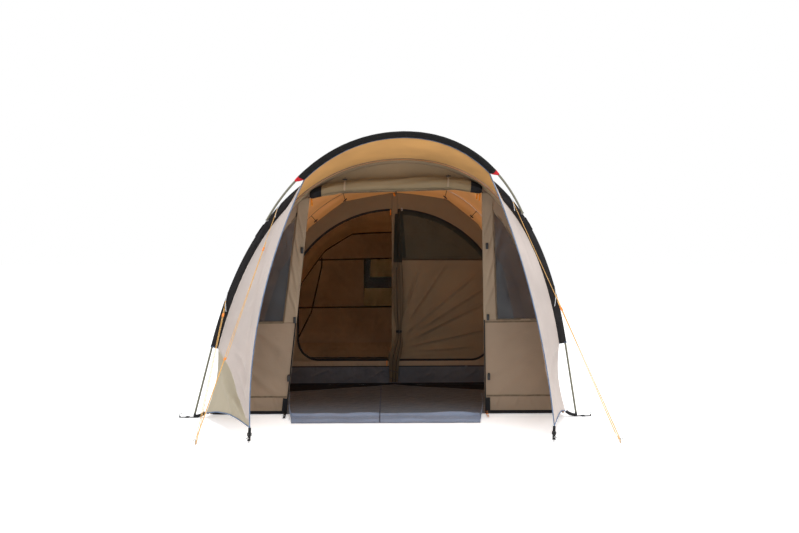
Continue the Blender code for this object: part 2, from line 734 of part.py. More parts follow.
def arc_height(across):
    """Height of the doorways' arc at a distance from the door's centre."""
    return ARC_CENTRE + np.sqrt(ARC_RADIUS ** 2 - np.asarray(across) ** 2)


def add_inner_shell(parts):
    """The inner tent's tub, front wall, cabin and rear wall."""
    edge = CLOTH / 2.0 + SEAM_GAP + GAP
    depths = np.linspace(INNER_FRONT + edge, INNER_REAR - edge, SHEET_ROWS)
    grid = np.stack([section(depth, INNER_INSET, TUB_HEIGHT + SEAM_GAP) for depth in depths])
    add_sheet("inner_cabin", pitched(grid), CLOTH, "inner_cloth", parts)
    front = pitched_outline(section(INNER_FRONT, INNER_INSET, TUB_HEIGHT + SEAM_GAP)[:, [0, 2]])
    holes = [door_hole(side) for side in SIDES.values()]
    add_panel("inner_front_wall", [front] + holes, INNER_FRONT, CLOTH, "inner_cloth", parts)
    rear = pitched_outline(section(INNER_REAR, INNER_INSET, TUB_HEIGHT + SEAM_GAP)[:, [0, 2]])
    window = rear_window_outline()
    add_panel("inner_rear_wall", [rear, window], INNER_REAR, CLOTH, "inner_cloth", parts)
    add_panel("inner_rear_window", [shrunk(window, GAP)], INNER_REAR, PANE, "mesh", parts)


def rear_window_outline():
    """The inner tent's rear window, as wide as the one in the outer cloth."""
    half = REAR_WINDOW_HALF
    return pitched_outline([(-half, REAR_WINDOW_FOOT), (half, REAR_WINDOW_FOOT),
                            (half, REAR_WINDOW_HEAD), (-half, REAR_WINDOW_HEAD)])


def add_tub(parts):
    """The inner tent's floor, a tray with upright sides that lies on the ground."""
    rows = []
    for depth in (INNER_FRONT - TUB_CLOTH / 2.0, INNER_REAR + TUB_CLOTH / 2.0):
        arch, sag = arch_at(depth)
        low = leg_point(arch, INNER_INSET + sag - TUB_CLOTH / 2.0, 0.0)[0]
        high = leg_point(arch, INNER_INSET + sag - TUB_CLOTH / 2.0, TUB_HEIGHT)[0]
        corners = [(-high, depth, TUB_HEIGHT), (-low, depth, 0.0),
                   (low, depth, 0.0), (high, depth, TUB_HEIGHT)]
        rows.append(pitched(corners))
    mesh = bpy.data.meshes.new("inner_tub")
    faces = [(0, 1, 5, 4), (1, 2, 6, 5), (2, 3, 7, 6), (0, 3, 2, 1), (4, 5, 6, 7)]
    mesh.from_pydata(np.vstack(rows).tolist(), [], faces)
    turn_outwards(mesh, Vector((0.0, (INNER_FRONT + INNER_REAR) / 2.0, TUB_HEIGHT)))
    made = add_object("inner_tub", mesh, "tub", parts)
    wall = made.modifiers.new("cloth", "SOLIDIFY")
    wall.thickness = TUB_CLOTH
    wall.offset = -1.0
    wall.use_even_offset = True


def door_edge(height):
    """Distance from the door's centre to its outer edge at a height, under the arc."""
    hole = door_hole(1.0)
    edge = hole[1:CORNER_STEPS + 2]
    return np.interp(height, edge[:, 1], edge[:, 0] - DOOR_CENTRE)


def add_inner_door(parts):
    """The right inner door: cloth with stretch folds below, netting above."""
    inner = STRIP_HALF + GAP
    rounded = INNER_DOOR_SILL + INNER_DOOR_CORNER * (1.0 + np.sin(door_corner()))
    rounded[0] += SEAM_GAP
    heights = np.concatenate([rounded, np.linspace(rounded[-1], MESH_SILL - GAP, DOOR_ROWS)[1:]])
    across = np.linspace(0.0, 1.0, DOOR_COLUMNS)
    outer = door_edge(heights) - SEAM_GAP
    spread = inner + (outer - inner)[:, None] * across
    rise = np.repeat(heights[:, None], len(across), axis=1)
    climb = (heights - INNER_DOOR_SILL) / (MESH_SILL - INNER_DOOR_SILL)
    inside = np.sin(math.pi * across)[None, :] * np.sin(math.pi * climb)[:, None]
    fan = np.arctan2(rise - INNER_DOOR_SILL, spread - inner + GAP) / (math.pi / 2.0)
    folds = DOOR_FOLD * np.cos(2.0 * math.pi * DOOR_FOLDS * fan) * np.minimum(1.0, 3.0 * inside)
    grid = np.stack([DOOR_CENTRE + spread, INNER_FRONT + folds, rise], axis=-1)
    add_sheet("inner_door_right", grid, CLOTH, "inner_cloth", parts)
    columns = np.linspace(STRIP_HALF, INNER_DOOR_HALF, DOOR_COLUMNS)
    top = arc_height(columns) - SEAM_GAP
    columns[0] += GAP
    columns[-1] -= GAP
    rows = np.linspace(0.0, 1.0, 3)[:, None]
    up = (MESH_SILL + GAP) * (1.0 - rows) + top * rows
    place = np.broadcast_to(DOOR_CENTRE + columns, up.shape)
    netting = np.stack([place, np.full(up.shape, INNER_FRONT), up], axis=-1)
    add_sheet("inner_door_netting", netting, PANE, "mesh", parts)


def bundle_radius(height):
    """Half width of the gathered door at a height."""
    profile = np.array(BUNDLE_PROFILE)
    return np.interp(-height, -profile[:, 0], profile[:, 1])


def bundle_ring(height, radius):
    """A ring of the gathered door: an oval with folds, flat against the inner tent's centre strip."""
    turns = bundle_turns()
    folds = 1.0 - BUNDLE_FOLD_DEPTH * (0.5 + 0.5 * np.cos(BUNDLE_FOLDS * turns + BUNDLE_TWIST * height))
    across = DOOR_CENTRE + BUNDLE_OFFSET + radius * folds * np.cos(turns)
    depth = bundle_depth(radius) + BUNDLE_FLATNESS * radius * folds * np.sin(turns)
    return np.column_stack([across, depth, np.full(len(turns), height)])


def bundle_turns():
    """Turns round a ring of the gathered door."""
    return np.linspace(0.0, 2.0 * math.pi, BUNDLE_SIDES, endpoint=False)


def bundle_depth(radius):
    """Depth of a ring's middle, with room for the tie between the bundle and the strip behind it."""
    return INNER_FRONT - CLOTH / 2.0 - TIE_CLOTH - 3.0 * GAP - BUNDLE_FLATNESS * radius


def add_bundle(parts):
    """The left inner door, gathered into a hanging bundle and tied at knee height."""
    heights = np.array([height for height, _ in BUNDLE_PROFILE])
    rings = np.stack([bundle_ring(height, bundle_radius(height)) for height in heights])
    add_loft("inner_door_bundle", rings, "inner_cloth", parts)
    turns = bundle_turns()
    radius = bundle_radius(BUNDLE_TIE_HEIGHT)
    room = GAP + TIE_CLOTH / 2.0
    spread = 1.0 / math.cos(math.pi / BUNDLE_SIDES)
    across = DOOR_CENTRE + BUNDLE_OFFSET + (radius + room) * spread * np.cos(turns)
    depth = bundle_depth(radius) + (BUNDLE_FLATNESS * radius + room) * spread * np.sin(turns)
    edges = BUNDLE_TIE_HEIGHT + np.array([-0.5, 0.5]) * BUNDLE_TIE_WIDTH
    band = np.stack([np.column_stack([across, depth, np.full(len(turns), edge)]) for edge in edges])
    add_sheet("inner_door_tie", band, TIE_CLOTH, "webbing", parts, closed=True)


def slider_depth():
    """Depth of the zip sliders' middle, just in front of the inner tent's front."""
    return INNER_FRONT - CLOTH / 2.0 - GAP - SLIDER_THICKNESS / 2.0


def arc_slider_place():
    """Middle of the slider that runs on the doorways' arc."""
    turn = math.radians(90.0 + ARC_SLIDER_ANGLE)
    across = DOOR_CENTRE + ARC_RADIUS * math.cos(turn)
    return Vector((across, slider_depth(), ARC_CENTRE + ARC_RADIUS * math.sin(turn)))


def sill_slider_place():
    """Middle of the slider that runs on the zip along the doorways' sill."""
    return Vector((DOOR_CENTRE - SILL_SLIDER, slider_depth(), INNER_DOOR_SILL - SLIDER_THICKNESS))


def add_sliders(parts):
    """The two sliders of the inner doors' zips."""
    for name, place in (("arc", arc_slider_place()), ("sill", sill_slider_place())):
        size = (SLIDER_WIDTH, SLIDER_THICKNESS, SLIDER_HEIGHT)
        add_box("zip_slider_" + name, size, place, "plastic", parts)


# Straps, buckles and pegs
def peg_path(foot, lean_to):
    """A peg's head above the ground: a short stem and a hook that turns towards a side."""
    turns = np.linspace(0.0, math.pi, 5)
    hook = np.column_stack([PEG_HOOK * (1.0 - np.cos(turns)) * lean_to, np.zeros(len(turns)),
                            PEG_HEIGHT - PEG_HOOK + PEG_HOOK * np.sin(turns)])
    return np.vstack([[(0.0, 0.0, 0.0)], hook]) + np.array(foot)


def foot_place(arch, side):
    """Where an arch pole's foot stands."""
    height = foot_height(side)
    return pitched([side * leg_point(arch, 0.0, height)[0], arch.depth, height])


def strap_depth(arch):
    """Depth of a foot strap's middle line."""
    return arch.depth + STRAP_OFFSET


def buckle_place(arch, side):
    """Middle of the buckle on a foot strap's tail."""
    return Vector((foot_place(arch, side)[0] + side * BUCKLE_PLACE, strap_depth(arch), STRAP_HEIGHT))


def add_foot_straps(parts, cutters):
    """Under each foot a webbing strap; the front ones show a sliding buckle and a peg."""
    for place, arch in (("front", FRONT_ARCH), ("middle", MIDDLE_ARCH), ("rear", REAR_ARCH)):
        lead = FRONT_STRAP_LEAD if place == "front" else STRAP_LEAD
        for name, side in SIDES.items():
            foot = foot_place(arch, side)[0]
            line = [(foot - side * lead, HEM_HEIGHT + lead / 4.0), (foot - side * STRAP_BEND, STRAP_HEIGHT),
                    (foot + side * STRAP_TAIL, STRAP_HEIGHT)]
            halves = np.array([-STRAP_WIDTH / 2.0, STRAP_WIDTH / 2.0])
            grid = np.array([[(x, strap_depth(arch) + half, z) for half in halves] for x, z in line])
            add_sheet("foot_strap_%s_%s" % (place, name), grid, STRAP_CLOTH, "webbing", parts)
            if place == "front":
                add_foot_buckle(name, arch, side, parts, cutters)
                end = foot + side * (STRAP_TAIL + PEG_DIAMETER / 2.0 + GAP)
                path = peg_path((end, strap_depth(arch), 0.0), -side)
                add_tube("foot_peg_" + name, [path], PEG_DIAMETER, "steel", parts, resolution=1)


def add_foot_buckle(name, arch, side, parts, cutters):
    """A buckle round a foot strap's tail, with a slot for the webbing and two windows above it."""
    centre = buckle_place(arch, side)
    size = (BUCKLE_LENGTH, BUCKLE_WIDTH, BUCKLE_HEIGHT)
    buckle = add_box("foot_buckle_" + name, size, (centre.x, centre.y, BUCKLE_HEIGHT / 2.0), "plastic", parts)
    slot = (2.0 * BUCKLE_LENGTH, STRAP_WIDTH + 2.0 * GAP, STRAP_CLOTH + 2.0 * GAP)
    cut(buckle, add_box("foot_buckle_slot_" + name, slot, centre, "plastic", cutters))
    window = (BUCKLE_LENGTH / 4.0, STRAP_WIDTH, BUCKLE_HEIGHT)
    for shift in (-1.0, 1.0):
        spot = (centre.x + shift * BUCKLE_LENGTH / 5.0, centre.y, BUCKLE_HEIGHT)
        cut(buckle, add_box("foot_buckle_window_%s_%d" % (name, shift), window, spot, "plastic", cutters))


def wing_strap_ends(side):
    """Top and bottom of a wing's strap, from the wing's toe to its peg."""
    top = pitched([side * WING_TOE.x + WING_SHIFT, WING_TOE.y, WING_TOE.z - GAP])
    low = np.array([side * WING_PEG.x + WING_SHIFT, WING_PEG.y, WING_STRAP_END])
    return Vector(top), Vector(low)


def add_wing_straps(parts, cutters):
    """A strap with a sliding buckle from each wing's toe to a peg."""
    for name, side in SIDES.items():
        top, low = wing_strap_ends(side)
        along = (low - top).normalized()
        start = top + along * SEAM_GAP
        turn = turned_to(along, (1.0, 0.0, 0.0))
        length = (low - start).length
        centre = (start + low) / 2.0
        add_box("wing_strap_" + name, (length, WING_STRAP_WIDTH, STRAP_CLOTH), centre, "webbing", parts, turn)
        buckle = add_box("wing_buckle_" + name, WING_BUCKLE_SIZE, centre, "plastic", parts, turn)
        slot = (2.0 * BUCKLE_LENGTH, WING_STRAP_WIDTH + 2.0 * GAP, STRAP_CLOTH + 2.0 * GAP)
        cut(buckle, add_box("wing_buckle_slot_" + name, slot, centre, "plastic", cutters, turn))
        path = peg_path((low.x, low.y - STRAP_CLOTH / 2.0 - PEG_DIAMETER / 2.0, 0.0), side)
        add_tube("wing_peg_" + name, [path], PEG_DIAMETER, "steel", parts, resolution=1)


# Guy ropes
def guy_ends(side, step):
    """Top of a guy rope, against the front of the arch's sleeve, and the middle of its loop at the peg."""
    half = arch_half(FRONT_ARCH, 0.0, np.array([step]))[0]
    front = POLE_DIAMETER / 2.0 + SLEEVE_CLOTH + ROPE_DIAMETER / 2.0 + 2.0 * SEAM_GAP + GAP
    top = pitched([side * half[0], -front, half[1]])
    hitch = UPPER_HITCH if step == UPPER_GUY else LOWER_HITCH
    peg = np.array([side * GUY_PEG.x + GUY_SHIFT, GUY_PEG.y, hitch])
    return top, peg


def guy_line(side, step):
    """A guy rope's strand: its top, its low end beside the peg, its direction and half its spacing."""
    top, peg = guy_ends(side, step)
    outward = unit(np.cross(top - peg, [0.0, 0.0, side]))
    low = peg + outward * LOOP_WIDTH / 2.0
    return top, low, unit(top - low), outward * ROPE_SPACING / 2.0


def guy_widths(height, name, length):
    """Distances below the top, and there the width between a guy rope's two strands."""
    runner = RUNNER_REACH[height, name]
    places = [(runner - LOOP_TAIL, ROPE_SPACING), (runner + RUNNER_TRAVEL, ROPE_SPACING)]
    if (height, name) == ("upper", "left"):
        places += [(HOOK_REACH, HOOK_WIDTH), (HOOK_REACH + LOOP_TAIL / 2.0, TIGHT_WIDTH)]
        places += [(length - LOOP_TAIL, TIGHT_WIDTH)]
    elif (height, name) == ("upper", "right"):
        places += [(length - LOOP_TAIL, RING_WIDTH)]
    return np.array(places + [(length, LOOP_WIDTH)])


def guy_path(height, name):
    """A guy rope: from its clip down to the peg, round it, and back up to above the runner."""
    top, low, along, beside = guy_line(SIDES[name], GUY_STEPS[height])
    down = np.linspace(0.0, 1.0, ROPE_STEPS)[:, None]
    first = top * (1.0 - down) + low * down
    outward = unit(beside)
    turns = np.linspace(0.0, math.pi, LOOP_STEPS)[1:-1, None]
    loop = low - outward * LOOP_WIDTH / 2.0 * (1.0 - np.cos(turns)) - along * GUY_LOOP * np.sin(turns)
    widths = guy_widths(height, name, np.linalg.norm(top - low))[::-1]
    second = top - along * widths[:, :1] - outward * widths[:, 1:]
    return np.vstack([first, loop, second])


def add_guys(parts, cutters):
    """Four guy ropes with their runners and two pegs."""
    for name, side in SIDES.items():
        for height, step in GUY_STEPS.items():
            top, low, along, beside = guy_line(side, step)
            title = "%s_%s" % (height, name)
            add_tube("guy_rope_" + title, [guy_path(height, name)], ROPE_DIAMETER, "rope", parts)
            place = top - along * RUNNER_REACH[height, name] - beside
            turn = turned_to(along, beside)
            size = (RUNNER_LENGTH, RUNNER_WIDTH, RUNNER_THICKNESS)
            runner = add_box("guy_runner_" + title, size, Vector(place), "runner", parts, turn)
            for shift in (-1.0, 1.0):
                cut(runner, add_bore("%s_bore_%d" % (title, shift), place + beside * shift, turn, cutters))
        peg = guy_ends(side, UPPER_GUY)[1]
        path = peg_path((peg[0], peg[1], 0.0), side)
        add_tube("guy_peg_" + name, [path], PEG_DIAMETER, "steel", parts, resolution=1)


def add_bore(name, place, turn, cutters):
    """A round cutter for the rope, through a runner."""
    sides = 10
    mesh = bpy.data.meshes.new(name)
    shape = bmesh.new()
    radius = (ROPE_DIAMETER / 2.0 + GAP) / math.cos(math.pi / sides)
    length = 2.0 * RUNNER_LENGTH
    bmesh.ops.create_cone(shape, cap_ends=True, segments=sides, radius1=radius, radius2=radius, depth=length)
    bmesh.ops.rotate(shape, verts=shape.verts, matrix=Matrix.Rotation(math.pi / 2.0, 3, "Y"))
    shape.to_mesh(mesh)
    shape.free()
    made = add_object(name, mesh, "runner", cutters)
    made.matrix_world = Matrix.Translation(Vector(place)) @ turn.to_4x4()
    return made


def main():
    """Builds the whole tent."""
    clear_scene()
    parts = new_collection("tunnel_tent")
    cutters = new_collection("cutters")
    add_arches(parts)
    add_canopy_pole(parts)
    add_bays(parts)
    add_rear_end(parts, cutters)
    tip = add_hood(parts)
    add_wings(tip, parts)
    add_front_wall(parts)
    add_door_roll(parts)
    add_groundsheet(parts)
    add_inner_shell(parts)
    add_tub(parts)
    add_inner_door(parts)
    add_bundle(parts)
    add_sliders(parts)
    add_foot_straps(parts, cutters)
    add_wing_straps(parts, cutters)
    add_guys(parts, cutters)


main()
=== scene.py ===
"""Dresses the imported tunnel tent: cloth with seams and folds, zips, webbing, ropes, floor, light and camera.

X runs right, Y into the tent and Z up, in metres, as in the CAD frame. The tent's shapes repeat the
formulas of the part's source, on finer grids and with the folds and seams of sewn cloth.
"""

import logging
import math
from dataclasses import dataclass, replace
from enum import Enum

import bpy
import numpy as np
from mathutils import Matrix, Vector


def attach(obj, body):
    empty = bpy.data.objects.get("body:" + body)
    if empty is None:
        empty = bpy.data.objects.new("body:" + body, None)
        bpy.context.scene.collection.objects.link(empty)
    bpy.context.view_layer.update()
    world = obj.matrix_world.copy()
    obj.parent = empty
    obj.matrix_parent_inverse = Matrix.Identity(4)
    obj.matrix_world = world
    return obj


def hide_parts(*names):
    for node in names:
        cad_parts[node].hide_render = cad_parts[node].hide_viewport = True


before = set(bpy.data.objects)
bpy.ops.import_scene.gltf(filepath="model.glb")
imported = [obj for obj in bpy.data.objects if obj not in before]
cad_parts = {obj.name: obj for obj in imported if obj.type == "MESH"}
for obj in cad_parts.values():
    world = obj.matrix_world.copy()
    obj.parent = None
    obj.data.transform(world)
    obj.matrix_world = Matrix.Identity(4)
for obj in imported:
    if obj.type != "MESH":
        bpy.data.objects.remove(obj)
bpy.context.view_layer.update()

LOG = logging.getLogger("tent")
Array = np.ndarray
Colour = tuple[int, int, int]
TENT = "tent"
GAP = 0.0003
SEAM_GAP = 0.0005
SIDES = {"left": -1.0, "right": 1.0}
FORWARD = (0.0, -1.0, 0.0)
UPWARD = (0.0, 0.0, 1.0)


# Points and curves
def xyz(across: Array | float, along: Array | float, up: Array | float) -> Array:
    """Points from their three coordinates, each an array or one value for all."""
    return np.stack(np.broadcast_arrays(across, along, up), axis=-1)


def ramp(count: int) -> Array:
    """Even steps from 0 to 1."""
    return np.linspace(0.0, 1.0, count)


def full_turn(count: int) -> Array:
    """Even angles round a circle, without the last one."""
    return np.linspace(0.0, 2.0 * math.pi, count, endpoint=False)


def clamp(values: Array | float) -> Array:
    """Values held between 0 and 1."""
    return np.clip(values, 0.0, 1.0)


def blend(first: Array | float, second: Array | float, share: Array | float) -> Array:
    """A mix that is all first at share 0 and all second at share 1."""
    return first * (1.0 - share) + second * share


def between(first: Array | float, second: Array | float, share: Array | float) -> Array:
    """What lies a share of the way from first to second, or beyond them."""
    return first + (second - first) * share


def bell(values: Array, middle: Array | float, width: Array | float) -> Array:
    """A bell curve: 1 at its middle, and falling off over its width."""
    return np.exp(-((values - middle) / width) ** 2)


def unit(vectors: Array) -> Array:
    """Scales vectors to length one."""
    size = np.linalg.norm(vectors, axis=-1, keepdims=True)
    return vectors / np.maximum(size, 1e-12)


def square_to(path: Array, direction: Array) -> Array:
    """Unit vectors square to a path and to a direction."""
    return unit(np.cross(unit(np.gradient(path, axis=0)), direction))


def segment(start: Array, end: Array, count: int) -> Array:
    """Even points on the straight line between two places."""
    return blend(start, end, ramp(count)[:, None])


def looped(grid: Array, closed: bool = True) -> Array:
    """A grid with its first column once more at its end, where it is closed."""
    return np.concatenate([grid, grid[:, :1]], axis=1) if closed else grid


def band(rings: Array, centre: Array, axes: list[int], share: float) -> Array:
    """A closed band: rings, then the same ones drawn in towards a centre, and the first one again.

    Args:
        rings: points of shape (rings, around, 3), from one edge of the band to the other.
        centre: the centre's coordinates along the axes.
        axes: the axes along which the inner face lies further in.
        share: the inner face's size as a share of the outer one's.

    Returns:
        Points of shape (2 * rings + 1, around, 3).
    """
    inner = rings[::-1].copy()
    inner[..., axes] = between(centre, inner[..., axes], share)
    return np.concatenate([rings, inner, rings[:1]])


def bump(values: Array) -> Array:
    """A smooth hill: 0 at 0 and 1, and 1 in the middle, as four times x times one minus x."""
    return 4.0 * values * (1.0 - values)


def ripples(points: Array, size: float, seed: int, stretch: tuple = (1.0, 1.0, 1.0)) -> Array:
    """Gentle unevenness as a sum of sine waves that run in seeded random directions.

    Args:
        points: places of shape (..., 3).
        size: typical wave length in metres.
        seed: number that fixes the waves.
        stretch: how much longer the waves are along X, Y and Z.

    Returns:
        Heights of about -1 to 1, of shape (...).
    """
    waves = 12
    source = np.random.default_rng(seed)
    heading = unit(source.normal(size=(waves, 3))) / np.array(stretch)
    length = size * source.uniform(0.6, 1.7, waves)
    phase = source.uniform(0.0, 2.0 * math.pi, waves)
    return np.sin(2.0 * math.pi * (points @ heading.T) / length + phase).sum(axis=-1) / math.sqrt(waves)


def creases(across: Array, up: Array, lines: list[tuple]) -> Array:
    """Straight folds in cloth: for each a ridge of bell section that fades out at both ends.

    Args:
        across, up: flat coordinates of the cloth's points.
        lines: (x0, z0, x1, z1, height, width) of each fold.

    Returns:
        Summed heights at the points.
    """
    total = np.zeros(np.broadcast(across, up).shape)
    for x0, z0, x1, z1, height, width in lines:
        run = np.array([x1 - x0, z1 - z0])
        length = float(np.linalg.norm(run))
        run = run / length
        along = ((across - x0) * run[0] + (up - z0) * run[1]) / length
        aside = (across - x0) * run[1] - (up - z0) * run[0]
        fade = clamp(bump(clamp(along))) ** 0.6
        section = np.exp(-(aside / width) ** 2) - 0.45 * bell(aside, 1.7 * width, 1.4 * width)
        total = total + height * fade * section
    return total


def grid_normals(grid: Array) -> Array:
    """Unit normals of a grid of points, as the cross product of its two directions."""
    return unit(np.cross(np.gradient(grid, axis=0), np.gradient(grid, axis=1)))


INSIDE = np.array([0.05, 1.6, 0.7])


def outward_normals(grid: Array) -> Array:
    """Unit normals of a grid that point away from the tent's middle."""
    normals = grid_normals(grid)
    return normals * np.sign((normals * (grid - INSIDE)).sum())


def raised(grid: Array, height: Array | float) -> Array:
    """Moves a grid's points along its normals."""
    return grid + grid_normals(grid) * np.asarray(height)[..., None]


def resampled(path: Array, count: int) -> Array:
    """Spaces a path's points evenly along its length.

    Args:
        path: the path's points.
        count: number of new points.

    Returns:
        The new points.
    """
    steps = np.concatenate([[0.0], np.cumsum(np.linalg.norm(np.diff(path, axis=0), axis=1))])
    wanted = np.linspace(0.0, steps[-1], count)
    return np.column_stack([np.interp(wanted, steps, path[:, axis]) for axis in range(path.shape[1])])


def ruled(low: Array, high: Array, rows: int) -> Array:
    """A grid of straight threads between two curves with the same number of points."""
    share = ramp(rows)[:, None, None]
    return blend(low[None], high[None], share)


def length_of(path: Array) -> float:
    """Length of a path."""
    return float(np.linalg.norm(np.diff(path, axis=0), axis=1).sum())


# Shape of the pitched tent, as in the part's source
LEAN = 0.045
LIFT = 0.018
SLEEVE_DEPTH = 0.052
SLEEVE_BASE = 0.012
SLEEVE_CLOTH = 0.0015
CLOTH = 0.003
HEM_HEIGHT = 0.02
POLE_RADIUS = 0.008
KNEE_HEIGHT = 0.565
LEG_LEAN = 0.207
BAY_SAG = 0.035


def pitched(points: Array) -> Array:
    """Moves points to where the hand-pitched tent holds them: right with height, up to the right."""
    across, along, up = np.moveaxis(np.asarray(points, dtype=float), -1, 0)
    return xyz(across + LEAN * up, along, up * (1.0 + LIFT * across))


@dataclass(frozen=True)
class Arch:
    """An arch of the tent: a bow over two straight legs.

    Attributes:
        depth: distance into the tent.
        half_width: half the distance between its feet.
        height: height of its apex.
    """

    depth: float
    half_width: float
    height: float

    def bow(self, inset: float, steps: Array) -> Array:
        """Points (x, z) of the right half's bow, a parabola moved in along its normal.

        Args:
            inset: distance inside the pole's centreline.
            steps: 0 at the apex to 1 at the knee.

        Returns:
            Points of shape (n, 2).
        """
        knee = self.half_width - LEG_LEAN * KNEE_HEIGHT
        corner = self.half_width - LEG_LEAN * self.height
        drop = self.height - KNEE_HEIGHT
        across = 2.0 * steps * (1.0 - steps) * corner + steps * steps * knee
        up = self.height - drop * steps * steps
        slope_across = 2.0 * (1.0 - 2.0 * steps) * corner + 2.0 * steps * knee
        slope_up = -2.0 * drop * steps
        size = np.hypot(slope_across, slope_up)
        return np.column_stack([across + inset * slope_up / size, up - inset * slope_across / size])

    def leg(self, inset: float, height: float) -> Array:
        """Point (x, z) at a height on the right leg, moved in by inset."""
        return np.array([self.half_width - LEG_LEAN * height - inset * math.hypot(1.0, LEG_LEAN), height])

    def line(self, inset: float, foot: float, count: int = 121) -> Array:
        """Points (x, y, z) along the whole arch, evenly spaced from the left foot to the right one.

        Args:
            inset: distance inside the pole's centreline.
            foot: height of its ends.
            count: number of points.

        Returns:
            Points of shape (count, 3).
        """
        half = self.bow(inset, ramp(60))
        half = np.vstack([half, self.leg(inset, foot)])
        flat = resampled(np.vstack([half[:0:-1] * (-1.0, 1.0), half]), count)
        return xyz(flat[:, 0], self.depth, flat[:, 1])


FRONT_ARCH = Arch(0.0, 1.50, 2.07)
MIDDLE_ARCH = Arch(1.30, 1.48, 2.02)
REAR_ARCH = Arch(3.30, 1.42, 1.70)
ARCHES = {"front": FRONT_ARCH, "middle": MIDDLE_ARCH, "rear": REAR_ARCH}
BAY_EDGE = SLEEVE_BASE / 2.0 + SLEEVE_CLOTH / 2.0 + SEAM_GAP
WALL_DEPTH = 0.10
INNER_FRONT = 1.40
WALL_INSET = SLEEVE_DEPTH + CLOTH / 2.0 + SEAM_GAP
HOLLOW_FOOT = 0.034
HOLLOW_EDGE = 0.030
HOLLOW_REACH = 0.30


def arch_at(depth: float) -> tuple[Arch, float]:
    """The arch between two neighbouring ones at a depth, and how far the cloth sags there, as a parabola.

    Args:
        depth: distance into the tent.

    Returns:
        The arch and the sag.
    """
    front, back = (FRONT_ARCH, MIDDLE_ARCH) if depth <= MIDDLE_ARCH.depth else (MIDDLE_ARCH, REAR_ARCH)
    share = (depth - front.depth) / (back.depth - front.depth)
    arch = Arch(depth, between(front.half_width, back.half_width, share),
                between(front.height, back.height, share))
    return arch, BAY_SAG * max(0.0, float(bump(np.array(share))))


def section(depth: float, inset: float, foot: float, count: int = 121) -> Array:
    """Cross-section of cloth that sags between the poles.

    Below the front sleeve's ends it lies a little inwards, as the wings do, and less so further back.

    Args:
        depth: distance into the tent.
        inset: distance inside the arches.
        foot: height of its ends.
        count: number of points.

    Returns:
        Points of shape (count, 3), from left to right.
    """
    arch, sag = arch_at(depth)
    line = arch.line(inset + sag, foot, count)
    low = clamp((KNEE_HEIGHT - line[:, 2]) / KNEE_HEIGHT)
    hollow = (HOLLOW_FOOT * low
              + HOLLOW_EDGE * np.sin(math.pi * low)) * math.exp(-(depth / HOLLOW_REACH) ** 2)
    line[:, 0] -= np.sign(line[:, 0]) * hollow
    return line


def width_at(line: Array, height: Array | float) -> Array:
    """Half width of a cross-section at a height, from its right half."""
    half = line[len(line) // 2:]
    return np.interp(-np.asarray(height), -half[:, 2], half[:, 0])


# Canopy pole
CANOPY_END = (1.012, 0.0, 1.54)
CANOPY_REACH = 0.75
CANOPY_RISE = 0.56
CANOPY_BEND = 0.592
CANOPY_TIP = 0.66
CANOPY_SLEEVE_DEPTH = 0.040
CANOPY_SIDE = unit(np.array([0.0, CANOPY_RISE, CANOPY_REACH]))
HOOD_END = 0.50
HOOD_SAG = 0.02


def canopy_line(steps: Array) -> Array:
    """Points on the canopy pole: a bow from the front arch's sides forward and up to its apex.

    Args:
        steps: -1 at its left end, 0 at its apex and 1 at its right end.

    Returns:
        Points of shape (n, 3).
    """
    share = np.abs(steps)
    across = (2.0 * share * (1.0 - share) * CANOPY_BEND + share * share * CANOPY_END[0]) * np.sign(steps)
    climb = 1.0 - share * share
    return xyz(across, CANOPY_END[1] - CANOPY_REACH * climb, CANOPY_END[2] + CANOPY_RISE * climb)


# Pieces
THIN = 0.0008
FILM_WALL = 0.0006


def added(name: str, data: bpy.types.ID, place: tuple = (0.0, 0.0, 0.0),
          turn: tuple = (0.0, 0.0, 0.0)) -> bpy.types.Object:
    """Adds an object to the scene, at a place and turned.

    Args:
        name: the object's name.
        data: its mesh, lamp or camera.
        place: where its origin goes.
        turn: its turns about the three axes, in radians.

    Returns:
        The object.
    """
    made = bpy.data.objects.new(name, data)
    made.location = place
    made.rotation_euler = turn
    bpy.context.scene.collection.objects.link(made)
    return made


